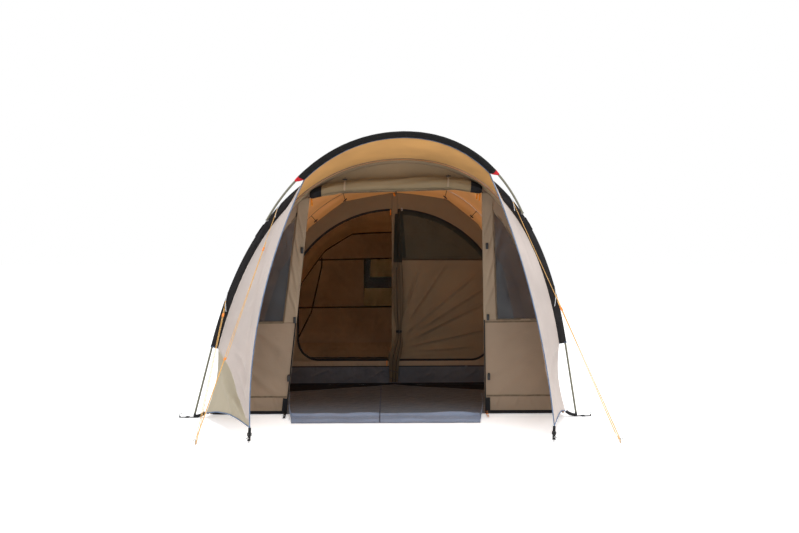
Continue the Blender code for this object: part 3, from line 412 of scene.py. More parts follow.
class Body:
    """Collects the points, faces and flat coordinates of one piece from grids, tubes and blocks."""

    def __init__(self) -> None:
        """Starts with nothing."""
        self.points: list[Array] = []
        self.faces: list[list[int]] = []
        self.flat: list[Array] = []
        self.count = 0

    def grid(self, grid: Array, closed: bool = False, keep: Array | None = None) -> "Body":
        """Adds a sheet: each cell of the grid is a face, and its flat coordinates are lengths in metres.

        Args:
            grid: points of shape (rows, columns, 3).
            closed: joins the last column to the first.
            keep: which cells stay, of shape (rows - 1, columns - 1).

        Returns:
            This body.
        """
        rows, columns = grid.shape[:2]
        index = self.count + np.arange(rows * columns).reshape(rows, columns)
        run, rise = [np.cumsum(np.pad(np.linalg.norm(np.diff(looped(grid, closed), axis=axis), axis=-1)
                                      .mean(axis=1 - axis), (1, 0))) for axis in (1, 0)]
        flat = np.stack(np.broadcast_arrays(run[None, :], rise[:, None]), axis=-1)
        return self.cells(grid.reshape(-1, 3), looped(index, closed), flat, keep)

    def cells(self, points: Array, index: Array, flat: Array, keep: Array | None = None) -> "Body":
        """Adds points, and a face for each cell of a grid of their numbers.

        Args:
            points: the points, of shape (n, 3).
            index: numbers of the points at the grid's crossings.
            flat: flat coordinates of the crossings.
            keep: as for grid.

        Returns:
            This body.
        """
        early, late = slice(None, -1), slice(1, None)
        corners = (early, early), (late, early), (late, late), (early, late)
        faces = np.stack([index[corner] for corner in corners], axis=-1)
        places = np.stack([flat[corner] for corner in corners], axis=-2)
        chosen = np.ones(faces.shape[:2], dtype=bool) if keep is None else keep
        self.points.append(points)
        self.faces += faces[chosen].tolist()
        self.flat.append(places[chosen].reshape(-1, 2))
        self.count += len(points)
        return self

    def solid(self, rings: Array) -> "Body":
        """Adds a closed solid through rings of points, with flat ends and faces that point out.

        Args:
            rings: points of shape (rings, around, 3).

        Returns:
            This body.
        """
        centre = rings.mean(axis=1)
        spokes = rings - centre[:, None]
        turn = np.cross(spokes, np.roll(spokes, -1, axis=1)).sum(axis=(0, 1))
        if turn @ (centre[-1] - centre[0]) > 0.0:
            rings = rings[:, ::-1]
        first = self.count
        self.grid(rings, closed=True)
        around = rings.shape[1]
        self.faces.append(list(range(first, first + around)))
        self.faces.append(list(range(self.count - around, self.count))[::-1])
        self.flat.append(np.zeros((2 * around, 2)))
        return self

    def tube(self, path: Array, radius: float | Array, sides: int = 12) -> "Body":
        """Adds a round bar: circles square to a path, turned from the normal of the path's plane.

        Args:
            path: its middle line.
            radius: its radius, or one for each point.
            sides: number of its sides.

        Returns:
            This body.
        """
        path = np.asarray(path, dtype=float)
        spread = path - path.mean(axis=0)
        normal = np.linalg.svd(spread, full_matrices=True)[2][2]
        along = unit(np.gradient(path, axis=0))
        side = unit(np.cross(along, normal))
        other = np.cross(side, along)
        turns = full_turn(sides)
        reach = np.broadcast_to(np.asarray(radius, dtype=float), len(path))[:, None, None]
        circle = np.cos(turns)[None, :, None] * side[:, None] + np.sin(turns)[None, :, None] * other[:, None]
        return self.solid(path[:, None] + reach * circle)

    def ribbon(self, path: Array, normal: Array, width: float, height: float) -> "Body":
        """Adds a flat band along a path: a low section with rounded edges, standing on its surface.

        Args:
            path: middle line of its underside.
            normal: direction away from the surface, one for all points or one for each.
            width: width of the band.
            height: thickness of the band.

        Returns:
            This body.
        """
        path = np.asarray(path, dtype=float)
        up = np.broadcast_to(unit(np.asarray(normal, dtype=float)), path.shape)
        side = square_to(path, up)
        half = width / 2.0
        profile = np.array([(-half, 0.0), (-0.96 * half, 0.8 * height), (-0.8 * half, height),
                            (0.8 * half, height), (0.96 * half, 0.8 * height), (half, 0.0)])
        return self.solid(path[:, None] + profile[None, :, :1] * side[:, None]
                          + profile[None, :, 1:] * up[:, None])

    def block(self, size: tuple, place: Array, axes: Array | None = None, edge: float = 0.001) -> "Body":
        """Adds a box with rounded edges: rounded rectangles stacked along its third axis.

        Args:
            size: its three lengths.
            place: its middle.
            axes: rows are its three directions; those of the frame when left out.
            edge: radius of its edges.

        Returns:
            This body.
        """
        axes = np.eye(3) if axes is None else np.asarray(axes, dtype=float)
        edge = min(edge, 0.45 * min(size))
        turns = np.linspace(0.0, math.pi / 2.0, 4)
        quarter = np.arange(4)[:, None] * math.pi / 2.0 + turns[None]
        signs = np.array([(1.0, 1.0), (-1.0, 1.0), (-1.0, -1.0), (1.0, -1.0)])
        corner = np.repeat(signs * (np.array(size[:2]) / 2.0 - edge), 4, axis=0)
        spoke = np.column_stack([np.cos(quarter.ravel()), np.sin(quarter.ravel())])
        rise = np.sin(np.linspace(-math.pi / 2.0, math.pi / 2.0, 8))
        reach = np.sqrt(np.maximum(0.0, 1.0 - rise ** 2))
        level = np.sign(rise) * (size[2] / 2.0 - edge) + edge * rise
        rings = np.concatenate([corner[None] + edge * reach[:, None, None] * spoke[None],
                                np.broadcast_to(level[:, None, None], (8, 16, 1))], axis=-1)
        return self.solid(rings @ axes + np.asarray(place, dtype=float))

    def barrel(self, place: Array, direction: tuple, half: float, radius: float,
               belly: float = 5.0) -> "Body":
        """Adds a toggle: a short bar along a direction that gets thinner towards its ends.

        Args:
            place: its middle.
            direction: the way it runs, of length about one.
            half: half its length, in lengths of the direction.
            radius: its radius in the middle.
            belly: how fast the radius falls off, per metre.

        Returns:
            This body.
        """
        share = np.linspace(-half, half, 11)
        return self.tube(place + share[:, None] * np.array(direction), radius - belly * share ** 2, 10)

    def ring(self, centre: Array, axis: Array, radius: float, wire: float, sides: int = 10) -> "Body":
        """Adds a round ring of round wire, closed both ways.

        Args:
            centre: its middle.
            axis: direction square to it.
            radius: distance of the wire's middle from the centre.
            wire: radius of the wire.
            sides: sides of the wire.

        Returns:
            This body.
        """
        axis = unit(np.asarray(axis, dtype=float))
        side = unit(np.cross(axis, (0.31, 0.53, 0.79)))
        other = np.cross(axis, side)
        around = 32
        turns = full_turn(around)[:, None, None]
        loops = full_turn(sides)[None, :, None]
        points = centre + (radius + wire * np.cos(loops)) * (np.cos(turns) * side + np.sin(turns) * other) \
            + wire * np.sin(loops) * axis
        index = self.count + np.arange(around * sides).reshape(around, sides)
        index = np.pad(index, ((0, 1), (0, 1)), mode="wrap")
        run, rise = np.meshgrid(np.arange(sides + 1) * wire, np.arange(around + 1) * radius * 0.2)
        return self.cells(points.reshape(-1, 3), index, np.stack([run, rise], axis=-1))

    def piece(self, name: str, finish: "Finish", slot: str, replaces: tuple = (), wall: float = 0.0,
              body: str = TENT, sharp: float = 50.0) -> bpy.types.Object:
        """Makes the object, dresses it, hangs it on the body that it rides on, and hides the CAD nodes that it
        stands for.

        Args:
            name: the piece's name.
            finish: its finish.
            slot: not used.
            replaces: CAD nodes that it stands for.
            wall: thickness that a sheet gets, or 0 for what is closed already.
            body: the CAD body that it rides on.
            sharp: edges that turn by more degrees than this stay sharp.

        Returns:
            The finished object.
        """
        mesh = bpy.data.meshes.new(name)
        mesh.from_pydata(np.vstack(self.points).tolist(), [], self.faces)
        mesh.uv_layers.new(name="cloth").uv.foreach_set("vector", np.vstack(self.flat).ravel())
        mesh.shade_smooth()
        mesh.set_sharp_from_angle(angle=math.radians(sharp))
        mesh.materials.append(finish.material())
        made = added(name, mesh)
        if wall:
            cloth = made.modifiers.new("cloth", "SOLIDIFY")
            cloth.thickness = wall
            cloth.offset = 0.0
            if finish.lining():
                mesh.materials.append(finish.lining())
                cloth.material_offset = 1
        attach(made, body)
        if replaces:
            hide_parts(*replaces)
        LOG.info("%s: %d faces", name, len(self.faces))
        return made


def sheet(name: str, grid: Array, finish: "Finish", slot: str, replaces: tuple = (),
          wall: float = 0.0012, keep: Array | None = None,
          closed: bool = False, centre: Array = INSIDE) -> bpy.types.Object:
    """Args:
        name, finish, slot, replaces, wall: as for Body.piece.
        grid, keep, closed: as for Body.grid.
        centre: a place that its inner face looks at.

    Returns:
        The finished object.
    """
    if (grid_normals(grid) * (grid - centre)).sum() < 0.0:
        grid, keep = grid[:, ::-1], None if keep is None else keep[:, ::-1]
    made = Body().grid(grid, closed, keep).piece(name, finish, slot, replaces, wall)
    return made


# Finishes
class Nodes:
    """A material's nodes: makes them, sets their values and joins them."""

    def __init__(self, made: bpy.types.Material | bpy.types.World,
                 output: str = "ShaderNodeOutputMaterial") -> None:
        """Starts with an empty material or world and its output node.

        Args:
            made: the material or world.
            output: kind of its output node.
        """
        self.made = made
        self.made.use_nodes = True
        self.tree = self.made.node_tree
        self.tree.nodes.clear()
        self.output = self.add(output)

    def add(self, kind: str, values: dict | None = None, **settings: object) -> bpy.types.Node:
        """Adds a node; values are sockets by name or number, each a number, a colour or another socket.

        Args:
            kind: the node's type.
            values: values or sockets by input.
            settings: the node's other settings.

        Returns:
            The node.
        """
        node = self.tree.nodes.new(kind)
        for key, setting in settings.items():
            setattr(node, key, setting)
        for key, value in (values or {}).items():
            if isinstance(value, bpy.types.NodeSocket):
                self.tree.links.new(value, node.inputs[key])
            else:
                node.inputs[key].default_value = value
        return node

    def math(self, operation: str, first: object, second: object = 0.0) -> bpy.types.NodeSocket:
        """A sum on one or two values."""
        return self.add("ShaderNodeMath", {0: first, 1: second}, operation=operation).outputs[0]

    def mixed(self, share: object, first: object, second: object) -> bpy.types.NodeSocket:
        """A mix of two colours."""
        node = self.add("ShaderNodeMix", {"Factor": share, 6: first, 7: second}, data_type="RGBA")
        return node.outputs[2]

    def tones(self, share: object, colour: Colour, dark: float, light: float = 1.0) -> bpy.types.NodeSocket:
        """A colour that gets lighter as the share grows, from one part of its own brightness to another."""
        return self.mixed(share, full(colour, dark), full(colour, light))

    def patches(self, scale: float, detail: float = 3.0, low: float = 0.35, high: float = 0.65,
                stretch: tuple = (1.0, 1.0, 1.0)) -> bpy.types.NodeSocket:
        """Soft patches of 0 to 1 that stay with the piece, from noise on its own coordinates.

        Args:
            scale: patches in a metre.
            detail: levels of finer noise.
            low, high: noise that counts as 0 and as 1.
            stretch: scales along X, Y and Z.

        Returns:
            The value's socket.
        """
        place = self.add("ShaderNodeTexCoord").outputs["Object"]
        place = self.add("ShaderNodeMapping", {"Vector": place, "Scale": stretch}).outputs[0]
        noise = self.add("ShaderNodeTexNoise", {"Vector": place, "Scale": scale, "Detail": detail})
        span = self.add("ShaderNodeMapRange", {0: noise.outputs[0], 1: low, 2: high})
        return span.outputs[0]

    def threads(self, pitch: float, turn: float = 0.0) -> bpy.types.NodeSocket:
        """A plain weave of 0 to 1: threads along both directions of the piece's flat coordinates.

        Args:
            pitch: distance between threads.
            turn: turn of the weave in radians.

        Returns:
            The value's socket.
        """
        place = self.add("ShaderNodeUVMap", uv_map="cloth").outputs[0]
        place = self.add("ShaderNodeMapping", {"Vector": place, "Rotation": (0.0, 0.0, turn)}).outputs[0]
        scale = 0.1 * math.pi / pitch
        warp = self.add("ShaderNodeTexWave", {"Vector": place, "Scale": scale}, bands_direction="X")
        weft = self.add("ShaderNodeTexWave", {"Vector": place, "Scale": scale}, bands_direction="Y")
        return self.math("MULTIPLY", warp.outputs["Fac"], weft.outputs["Fac"])

    def relief(self, height: object, distance: float, strength: float = 1.0,
               under: object = None) -> bpy.types.NodeSocket:
        """A bump of a height in metres, on top of another one.

        Args:
            height: the height, of 0 to 1.
            distance: metres that 1 stands for.
            strength: share of the bump that is used.
            under: normal of the bump under it.

        Returns:
            The normal's socket.
        """
        values = {"Height": height, "Distance": distance, "Strength": strength}
        if under is not None:
            values["Normal"] = under
        return self.add("ShaderNodeBump", values).outputs[0]

    def spread(self, share: object, low: float, high: float) -> bpy.types.NodeSocket:
        """A value that runs from low to high as the share runs from 0 to 1."""
        return self.add("ShaderNodeMapRange", {0: share, 3: low, 4: high}).outputs[0]

    def surface(self, base: object, rough: object, normal: object,
                more: dict | None = None) -> bpy.types.Node:
        """The main shader from its colour, roughness, bump and further values."""
        values = {"Base Color": base, "Roughness": rough, "Normal": normal, **(more or {})}
        return self.add("ShaderNodeBsdfPrincipled", values)

    def finish(self, shader: bpy.types.Node) -> bpy.types.Material:
        """Joins the last shader to the output."""
        self.tree.links.new(shader.outputs[0], self.output.inputs["Surface"])
        return self.made


@dataclass(frozen=True)
class Finish:
    """What every finish has and can do: a name, a main colour, and its material, made once."""

    name: str
    colour: Colour

    def material(self) -> bpy.types.Material:
        """The finish's material."""
        return bpy.data.materials.get(self.name) or self.make(Nodes(bpy.data.materials.new(self.name)))

    def lining(self) -> bpy.types.Material | None:
        """The material of a sheet's inner face, where it has its own."""
        return None

    def make(self, nodes: Nodes) -> bpy.types.Material:
        """Builds the material."""
        raise NotImplementedError


def full(colour: Colour, share: float = 1.0) -> tuple:
    """A screen colour of 0 to 255 as the linear values that shaders take, times a share, with its alpha.

    Args:
        colour: the screen colour.
        share: factor on its brightness.

    Returns:
        Red, green, blue and alpha.
    """
    values = np.array(colour) / 255.0
    linear = np.where(values <= 0.04045, values / 12.92, ((values + 0.055) / 1.055) ** 2.4)
    return (*(float(value) * share for value in linear), 1.0)


@dataclass(frozen=True)
class Cloth(Finish):
    """Woven cloth with a slow change of tone, fine threads and small crumples; light passes through it.

    Attributes:
        tone: how far its darker patches go down.
        glow: share of light that passes through.
        warmth: colour of the light that passes.
        thread: distance between threads.
        crumple: strength of the small crumples.
        gloss: roughness.
        shine: strength of its reflections.
    """

    tone: float = 0.88
    glow: float = 0.0
    warmth: Colour = (255, 255, 255)
    thread: float = 0.0012
    crumple: float = 0.25
    gloss: float = 0.8
    shine: float = 0.3

    def lining(self) -> bpy.types.Material | None:
        """The inner face: it passes nearly all the light that the outer face lets through."""
        return replace(self, name=self.name + "_inside", glow=0.9).material() if self.glow else None

    def base(self, nodes: Nodes, patches: bpy.types.NodeSocket) -> bpy.types.NodeSocket:
        """Its colour, darker where the patches are low."""
        return nodes.tones(patches, self.colour, self.tone)

    def make(self, nodes: Nodes) -> bpy.types.Material:
        """Patches set the tone, crossed waves the threads, and two noises the crumples.

        Args:
            nodes: the material's empty nodes.

        Returns:
            The material.
        """
        patches = nodes.patches(2.2)
        weave = nodes.threads(self.thread)
        base = self.base(nodes, patches)
        lit = nodes.mixed(nodes.math("MULTIPLY", weave, 0.16), base, full(self.colour, 0.55))
        creased = nodes.relief(nodes.patches(16.0, 4.0, 0.2, 0.8), 0.012, self.crumple)
        normal = nodes.relief(weave, 0.00012, 0.6, creased)
        rough = nodes.spread(patches, self.gloss - 0.06, self.gloss + 0.06)
        face = nodes.surface(lit, rough, normal, {
            "Specular IOR Level": self.shine, "Sheen Weight": self.shine / 4.0, "Sheen Roughness": 0.5})
        if not self.glow:
            return nodes.finish(face)
        through = nodes.tones(patches, self.warmth, self.tone)
        inside = nodes.add("ShaderNodeBsdfTranslucent", {"Color": through, "Normal": normal})
        return nodes.finish(nodes.add("ShaderNodeMixShader",
                                      {0: self.glow, 1: face.outputs[0], 2: inside.outputs[0]}))


@dataclass(frozen=True)
class Shaded(Cloth):
    """Cloth with painted shade: its own, darker colour inside the tent fades to a lighter, lit colour towards
    the tent's front.

    Attributes:
        other: the lighter, lit colour at the front.
        start, end: depths between which it fades.
    """

    other: Colour = (255, 255, 255)
    start: float = 0.0
    end: float = 1.0

    def base(self, nodes: Nodes, patches: bpy.types.NodeSocket) -> bpy.types.NodeSocket:
        """Its colour with painted shade: the lit colour at the front, mixed by the distance along Y into its
        own darker one further in.

        Args:
            nodes: the material's empty nodes.
            patches: the patches that set its tone.

        Returns:
            The colour's socket.
        """
        place = nodes.add("ShaderNodeTexCoord").outputs["Object"]
        depth = nodes.add("ShaderNodeSeparateXYZ", {0: place}).outputs["Y"]
        back = nodes.add("ShaderNodeMapRange", {0: depth, 1: self.start, 2: self.end}).outputs[0]
        return nodes.mixed(back, full(self.other), super().base(nodes, patches))


@dataclass(frozen=True)
class Film(Finish):
    """Tinted window film, smooth, a little wavy and partly see-through."""

    cover: float = 0.7
    gloss: float = 0.22

    def make(self, nodes: Nodes) -> bpy.types.Material:
        """Patches of haze set the colour and the roughness.

        Args:
            nodes: the material's empty nodes.

        Returns:
            The material.
        """
        haze = nodes.patches(5.0, 2.0)
        base = nodes.tones(haze, self.colour, 0.75)
        rough = nodes.spread(haze, self.gloss, self.gloss + 0.15)
        normal = nodes.relief(nodes.patches(9.0, 2.0), 0.01, 0.2)
        return nodes.finish(nodes.surface(base, rough, normal, {"Alpha": self.cover}))


@dataclass(frozen=True)
class Netting(Finish):
    """Insect netting: dark threads with holes that show a little of what lies behind."""

    cover: float = 0.8

    def make(self, nodes: Nodes) -> bpy.types.Material:
        """Crossed waves set the threads' tone; the holes count as one even share of cover.

        Args:
            nodes: the material's empty nodes.

        Returns:
            The material.
        """
        weave = nodes.threads(0.0016, 0.6)
        base = nodes.tones(weave, self.colour, 0.7, 1.2)
        tone = nodes.mixed(nodes.patches(3.0), full(self.colour, 0.8), base)
        normal = nodes.relief(weave, 0.0002, 0.6, nodes.relief(nodes.patches(10.0, 3.0), 0.01, 0.2))
        return nodes.finish(nodes.surface(tone, 0.75, normal,
                                          {"Alpha": self.cover, "Specular IOR Level": 0.1}))


@dataclass(frozen=True)
class Webbing(Finish):
    """Woven tape: a twill of fine ribs, a grid of lighter stitches and worn patches."""

    thread: float = 0.0022
    stitched: float = 0.25

    def make(self, nodes: Nodes) -> bpy.types.Material:
        """Crossed waves turned by half a right angle give the twill, short waves the stitches.

        Args:
            nodes: the material's empty nodes.

        Returns:
            The material.
        """
        weave = nodes.threads(self.thread, math.pi / 4.0)
        stitches = nodes.threads(0.006)
        worn = nodes.tones(nodes.patches(30.0, 4.0), self.colour, 0.75, 1.15)
        base = nodes.mixed(nodes.math("MULTIPLY", stitches, self.stitched), worn, full(self.colour, 2.2))
        normal = nodes.relief(weave, 0.0003, 0.8)
        return nodes.finish(nodes.surface(base, 0.75, normal, {"Specular IOR Level": 0.2}))


@dataclass(frozen=True)
class Moulded(Finish):
    """Moulded plastic: fine grain, slightly worn, with a soft gloss."""

    gloss: float = 0.42

    def make(self, nodes: Nodes) -> bpy.types.Material:
        """Fine noise gives the grain, and patches the wear.

        Args:
            nodes: the material's empty nodes.

        Returns:
            The material.
        """
        wear = nodes.patches(60.0, 3.0)
        base = nodes.tones(wear, self.colour, 0.8, 1.1)
        rough = nodes.spread(wear, self.gloss, self.gloss + 0.15)
        normal = nodes.relief(nodes.patches(900.0, 2.0), 0.0001, 0.4)
        return nodes.finish(nodes.surface(base, rough, normal))


@dataclass(frozen=True)
class Metal(Finish):
    """Bare or coated metal with fine lines along it and dull patches."""

    gloss: float = 0.35
    metallic: float = 1.0

    def make(self, nodes: Nodes) -> bpy.types.Material:
        """Stretched noise gives the lines, and patches the dull places.

        Args:
            nodes: the material's empty nodes.

        Returns:
            The material.
        """
        dull = nodes.patches(25.0, 3.0)
        base = nodes.tones(dull, self.colour, 0.78)
        rough = nodes.spread(dull, self.gloss, self.gloss + 0.2)
        normal = nodes.relief(nodes.patches(500.0, 2.0, stretch=(1.0, 1.0, 0.05)), 0.0001, 0.3)
        return nodes.finish(nodes.surface(base, rough, normal, {"Metallic": self.metallic}))


@dataclass(frozen=True)
class Braid(Finish):
    """Braided cord with slanting strands and a pale tracer thread."""

    tracer: Colour

    def make(self, nodes: Nodes) -> bpy.types.Material:
        """Crossed waves on the cord's own coordinates give the strands; the slower one marks the tracer.

        Args:
            nodes: the material's empty nodes.

        Returns:
            The material.
        """
        strands = nodes.threads(0.0016, 0.5)
        marks = nodes.threads(0.012, 0.9)
        base = nodes.tones(strands, self.colour, 0.8)
        shown = nodes.mixed(nodes.math("GREATER_THAN", marks, 0.72), base, full(self.tracer))
        normal = nodes.relief(strands, 0.0004, 0.8)
        return nodes.finish(nodes.surface(shown, 0.7, normal, {"Sheen Weight": 0.2}))


OUTER = Cloth("fly_cloth", (224, 214, 204), glow=0.17, warmth=(255, 214, 166), crumple=0.16, gloss=0.66)
WING = Cloth("wing_cloth", (197, 185, 178), glow=0.10, warmth=(236, 220, 205), crumple=0.16, gloss=0.66)
HOOD = Cloth("canopy_cloth", (196, 176, 148), glow=0.12, warmth=(252, 226, 184), crumple=0.12)
# Painted shade: a darker khaki copy of the wing cloth, used only on the left wing's corner panel where its
# turned cloth lies in shade.
KHAKI_SHADE_CLOTH = Cloth("khaki_painted_shade", (180, 170, 148), glow=0.10, warmth=(230, 210, 180), crumple=0.2)
TAUPE = Cloth("front_cloth", (167, 148, 127), glow=0.10, warmth=(230, 180, 130), crumple=0.2)
LUNETTE = Cloth("lunette_cloth", (168, 146, 116), crumple=0.25)
FACING = Cloth("facing_cloth", (174, 155, 132), glow=0.12, warmth=(230, 180, 130), crumple=0.3)
ROLLED = Cloth("rolled_cloth", (150, 132, 102), crumple=0.5)
DARK_SLEEVE = Cloth("sleeve_cloth", (33, 31, 32), tone=0.75, thread=0.0016, crumple=0.5, gloss=0.6,
                    shine=0.15)
BLACK_SLEEVE = Cloth("canopy_sleeve_cloth", (28, 27, 27), tone=0.8, thread=0.0016, crumple=0.4, gloss=0.65,
                     shine=0.1)
# Painted light: the cabin's and the rear wall's cloths are lighter copies of the front's brown cloth, the
# cabin's also passing more light, so that the inside looks brighter.
INNER = Cloth("brown_cloth", (140, 123, 98), glow=0.12, warmth=(250, 232, 208), crumple=0.22)
LIT_CABIN_CLOTH = Cloth("cabin_cloth", (160, 138, 112), glow=0.22, warmth=(250, 240, 226), crumple=0.22)
REAR = Cloth("rear_cloth", (150, 131, 106), glow=0.10, warmth=(255, 240, 222), crumple=0.22)
THRESHOLD = Cloth("threshold_cloth", (160, 142, 120), crumple=0.35)
FLOOR_SHEET = Cloth("tub_cloth", (94, 97, 104), tone=0.7, thread=0.002, crumple=0.6, gloss=0.5, shine=0.2)
# Painted shade and light: the groundsheet's cloth is darker inside the tent and lighter towards the door,
# where daylight falls.
GROUND_SHEET = Shaded("groundsheet_cloth", (80, 82, 86), tone=0.82, thread=0.0025, crumple=0.5, gloss=0.45,
                      other=(108, 119, 132), start=0.12, end=0.62)
# Painted shadow: a black strip on the groundsheet along the tub's foot, standing for the shade under the tub.
TUB_SHADOW_CLOTH = Cloth("groundsheet_painted_shadow", (20, 20, 22), tone=0.8, thread=0.0025, crumple=0.4, shine=0.1)
# Painted light: the flap and its turned-up ears are the groundsheet's cloth, painted lighter and bluer where
# daylight falls before the door.
LIT_FLAP_CLOTH = Cloth("groundsheet_flap_cloth", (150, 166, 192), tone=0.85, thread=0.0025, crumple=0.7, gloss=0.4)
# Painted shade: a darker copy of the inner tent's brown cloth for the gathered door, which lies in shade.
SHADED_BUNDLE_CLOTH = Cloth("bundle_painted_shade", (104, 90, 70), tone=0.8, crumple=0.4)
CURTAIN = Cloth("curtain_cloth", (224, 214, 196), glow=0.3, warmth=(250, 236, 200), crumple=0.2)
BINDING = Webbing("binding_tape", (104, 120, 144), thread=0.0016)
SLEEVE_BAND = Webbing("sleeve_band", (70, 80, 98), thread=0.0016)
MESH_BAND = Webbing("netting_band", (42, 44, 38), thread=0.0016, stitched=0.05)
RED_CLOTH = Webbing("red_cloth", (196, 36, 44), thread=0.0012, stitched=0.1)
BLACK_TAPE = Webbing("black_tape", (30, 30, 32))
SEAM = Webbing("seam_tape", (118, 103, 84), thread=0.0012)
PALE_SEAM = Webbing("pale_seam", (196, 184, 174), thread=0.0012)
BROWN_SEAM = Webbing("brown_seam", (62, 48, 34), thread=0.0012)
ORANGE_TAPE = Webbing("orange_tape", (232, 140, 50), thread=0.0012, stitched=0.1)
WHITE_CORD = Braid("white_cord", (228, 230, 234), (250, 250, 250))
ROPE = Braid("guy_cord", (242, 184, 96), (252, 222, 168))
ELASTIC = Braid("elastic_cord", (28, 28, 30), (60, 60, 64))
ORANGE_CORD = Braid("orange_cord", (236, 140, 44), (255, 214, 150))
PLASTIC = Moulded("black_plastic", (34, 34, 36))
ORANGE_PLASTIC = Moulded("orange_plastic", (240, 136, 40))
POLE = Metal("pole_coating", (122, 120, 104), gloss=0.4, metallic=0.5)
STEEL = Metal("peg_steel", (178, 178, 176))
WINDOW = Film("window_film", (76, 82, 88))
MESH = Netting("netting", (92, 88, 74))
# A darker copy of the netting for the gathered bundle: partly its many layers, partly painted shade.
SHADED_GATHERED_MESH = Netting("gathered_netting", (52, 52, 46), cover=0.94)
GROUND_TAPE = Webbing("ground_tape", (96, 102, 116), thread=0.0016)


# Poles and sleeves
STRAP_HEIGHT = 0.0045
STRAP_CLOTH = 0.002
SLEEVE_RADIUS = 0.0096
SLEEVE_SEAM = slice(20, 22)


def sleeve_grid(path: Array, side: Array, depth: float, grow: float = 0.0, seed: int | None = None) -> Array:
    """A sleeve's cloth: half a circle over the pole, then two flanks that close towards the seam.

    Args:
        path: the pole's centreline under the sleeve.
        side: direction square to the pole's plane.
        depth: distance from the centreline to the seam.
        grow: how far the cloth stands outside the sleeve's own.
        seed: number that fixes the puckers; none without it.

    Returns:
        Points of shape (length of path, around, 3), to be closed around.
    """
    radius = SLEEVE_RADIUS + grow
    turns = np.linspace(-math.pi / 2.0, math.pi / 2.0, 13)
    drop = ramp(9)[1:]
    flank = np.column_stack([-drop * depth, between(radius, SLEEVE_BASE / 2.0 + grow, drop)])
    profile = np.vstack([np.column_stack([radius * np.cos(turns), radius * np.sin(turns)]),
                         flank, flank[::-1] * (1.0, -1.0)])
    out = square_to(path, side)
    grid = path[:, None] + profile[None, :, :1] * out[:, None] + profile[None, :, 1:] * side
    if seed is None:
        return grid
    loose = bump(clamp(-profile[:, 0] / depth)) + 0.15
    lift = 0.0030 * (1.0 + ripples(grid, 0.06, seed)) * loose
    return grid + lift[..., None] * np.sign(profile[None, :, 1:]) * side


def foot_height(side: float) -> float:
    """Height of a pole's foot, whose tilted end stands on its strap."""
    return STRAP_HEIGHT + STRAP_CLOTH / 2.0 + GAP + POLE_RADIUS * (LEG_LEAN - side * LEAN)


def foot_place(arch: Arch, side: float) -> Array:
    """Where an arch pole's foot stands."""
    across, up = arch.leg(0.0, foot_height(side))
    return pitched(np.array([side * across, arch.depth, up]))


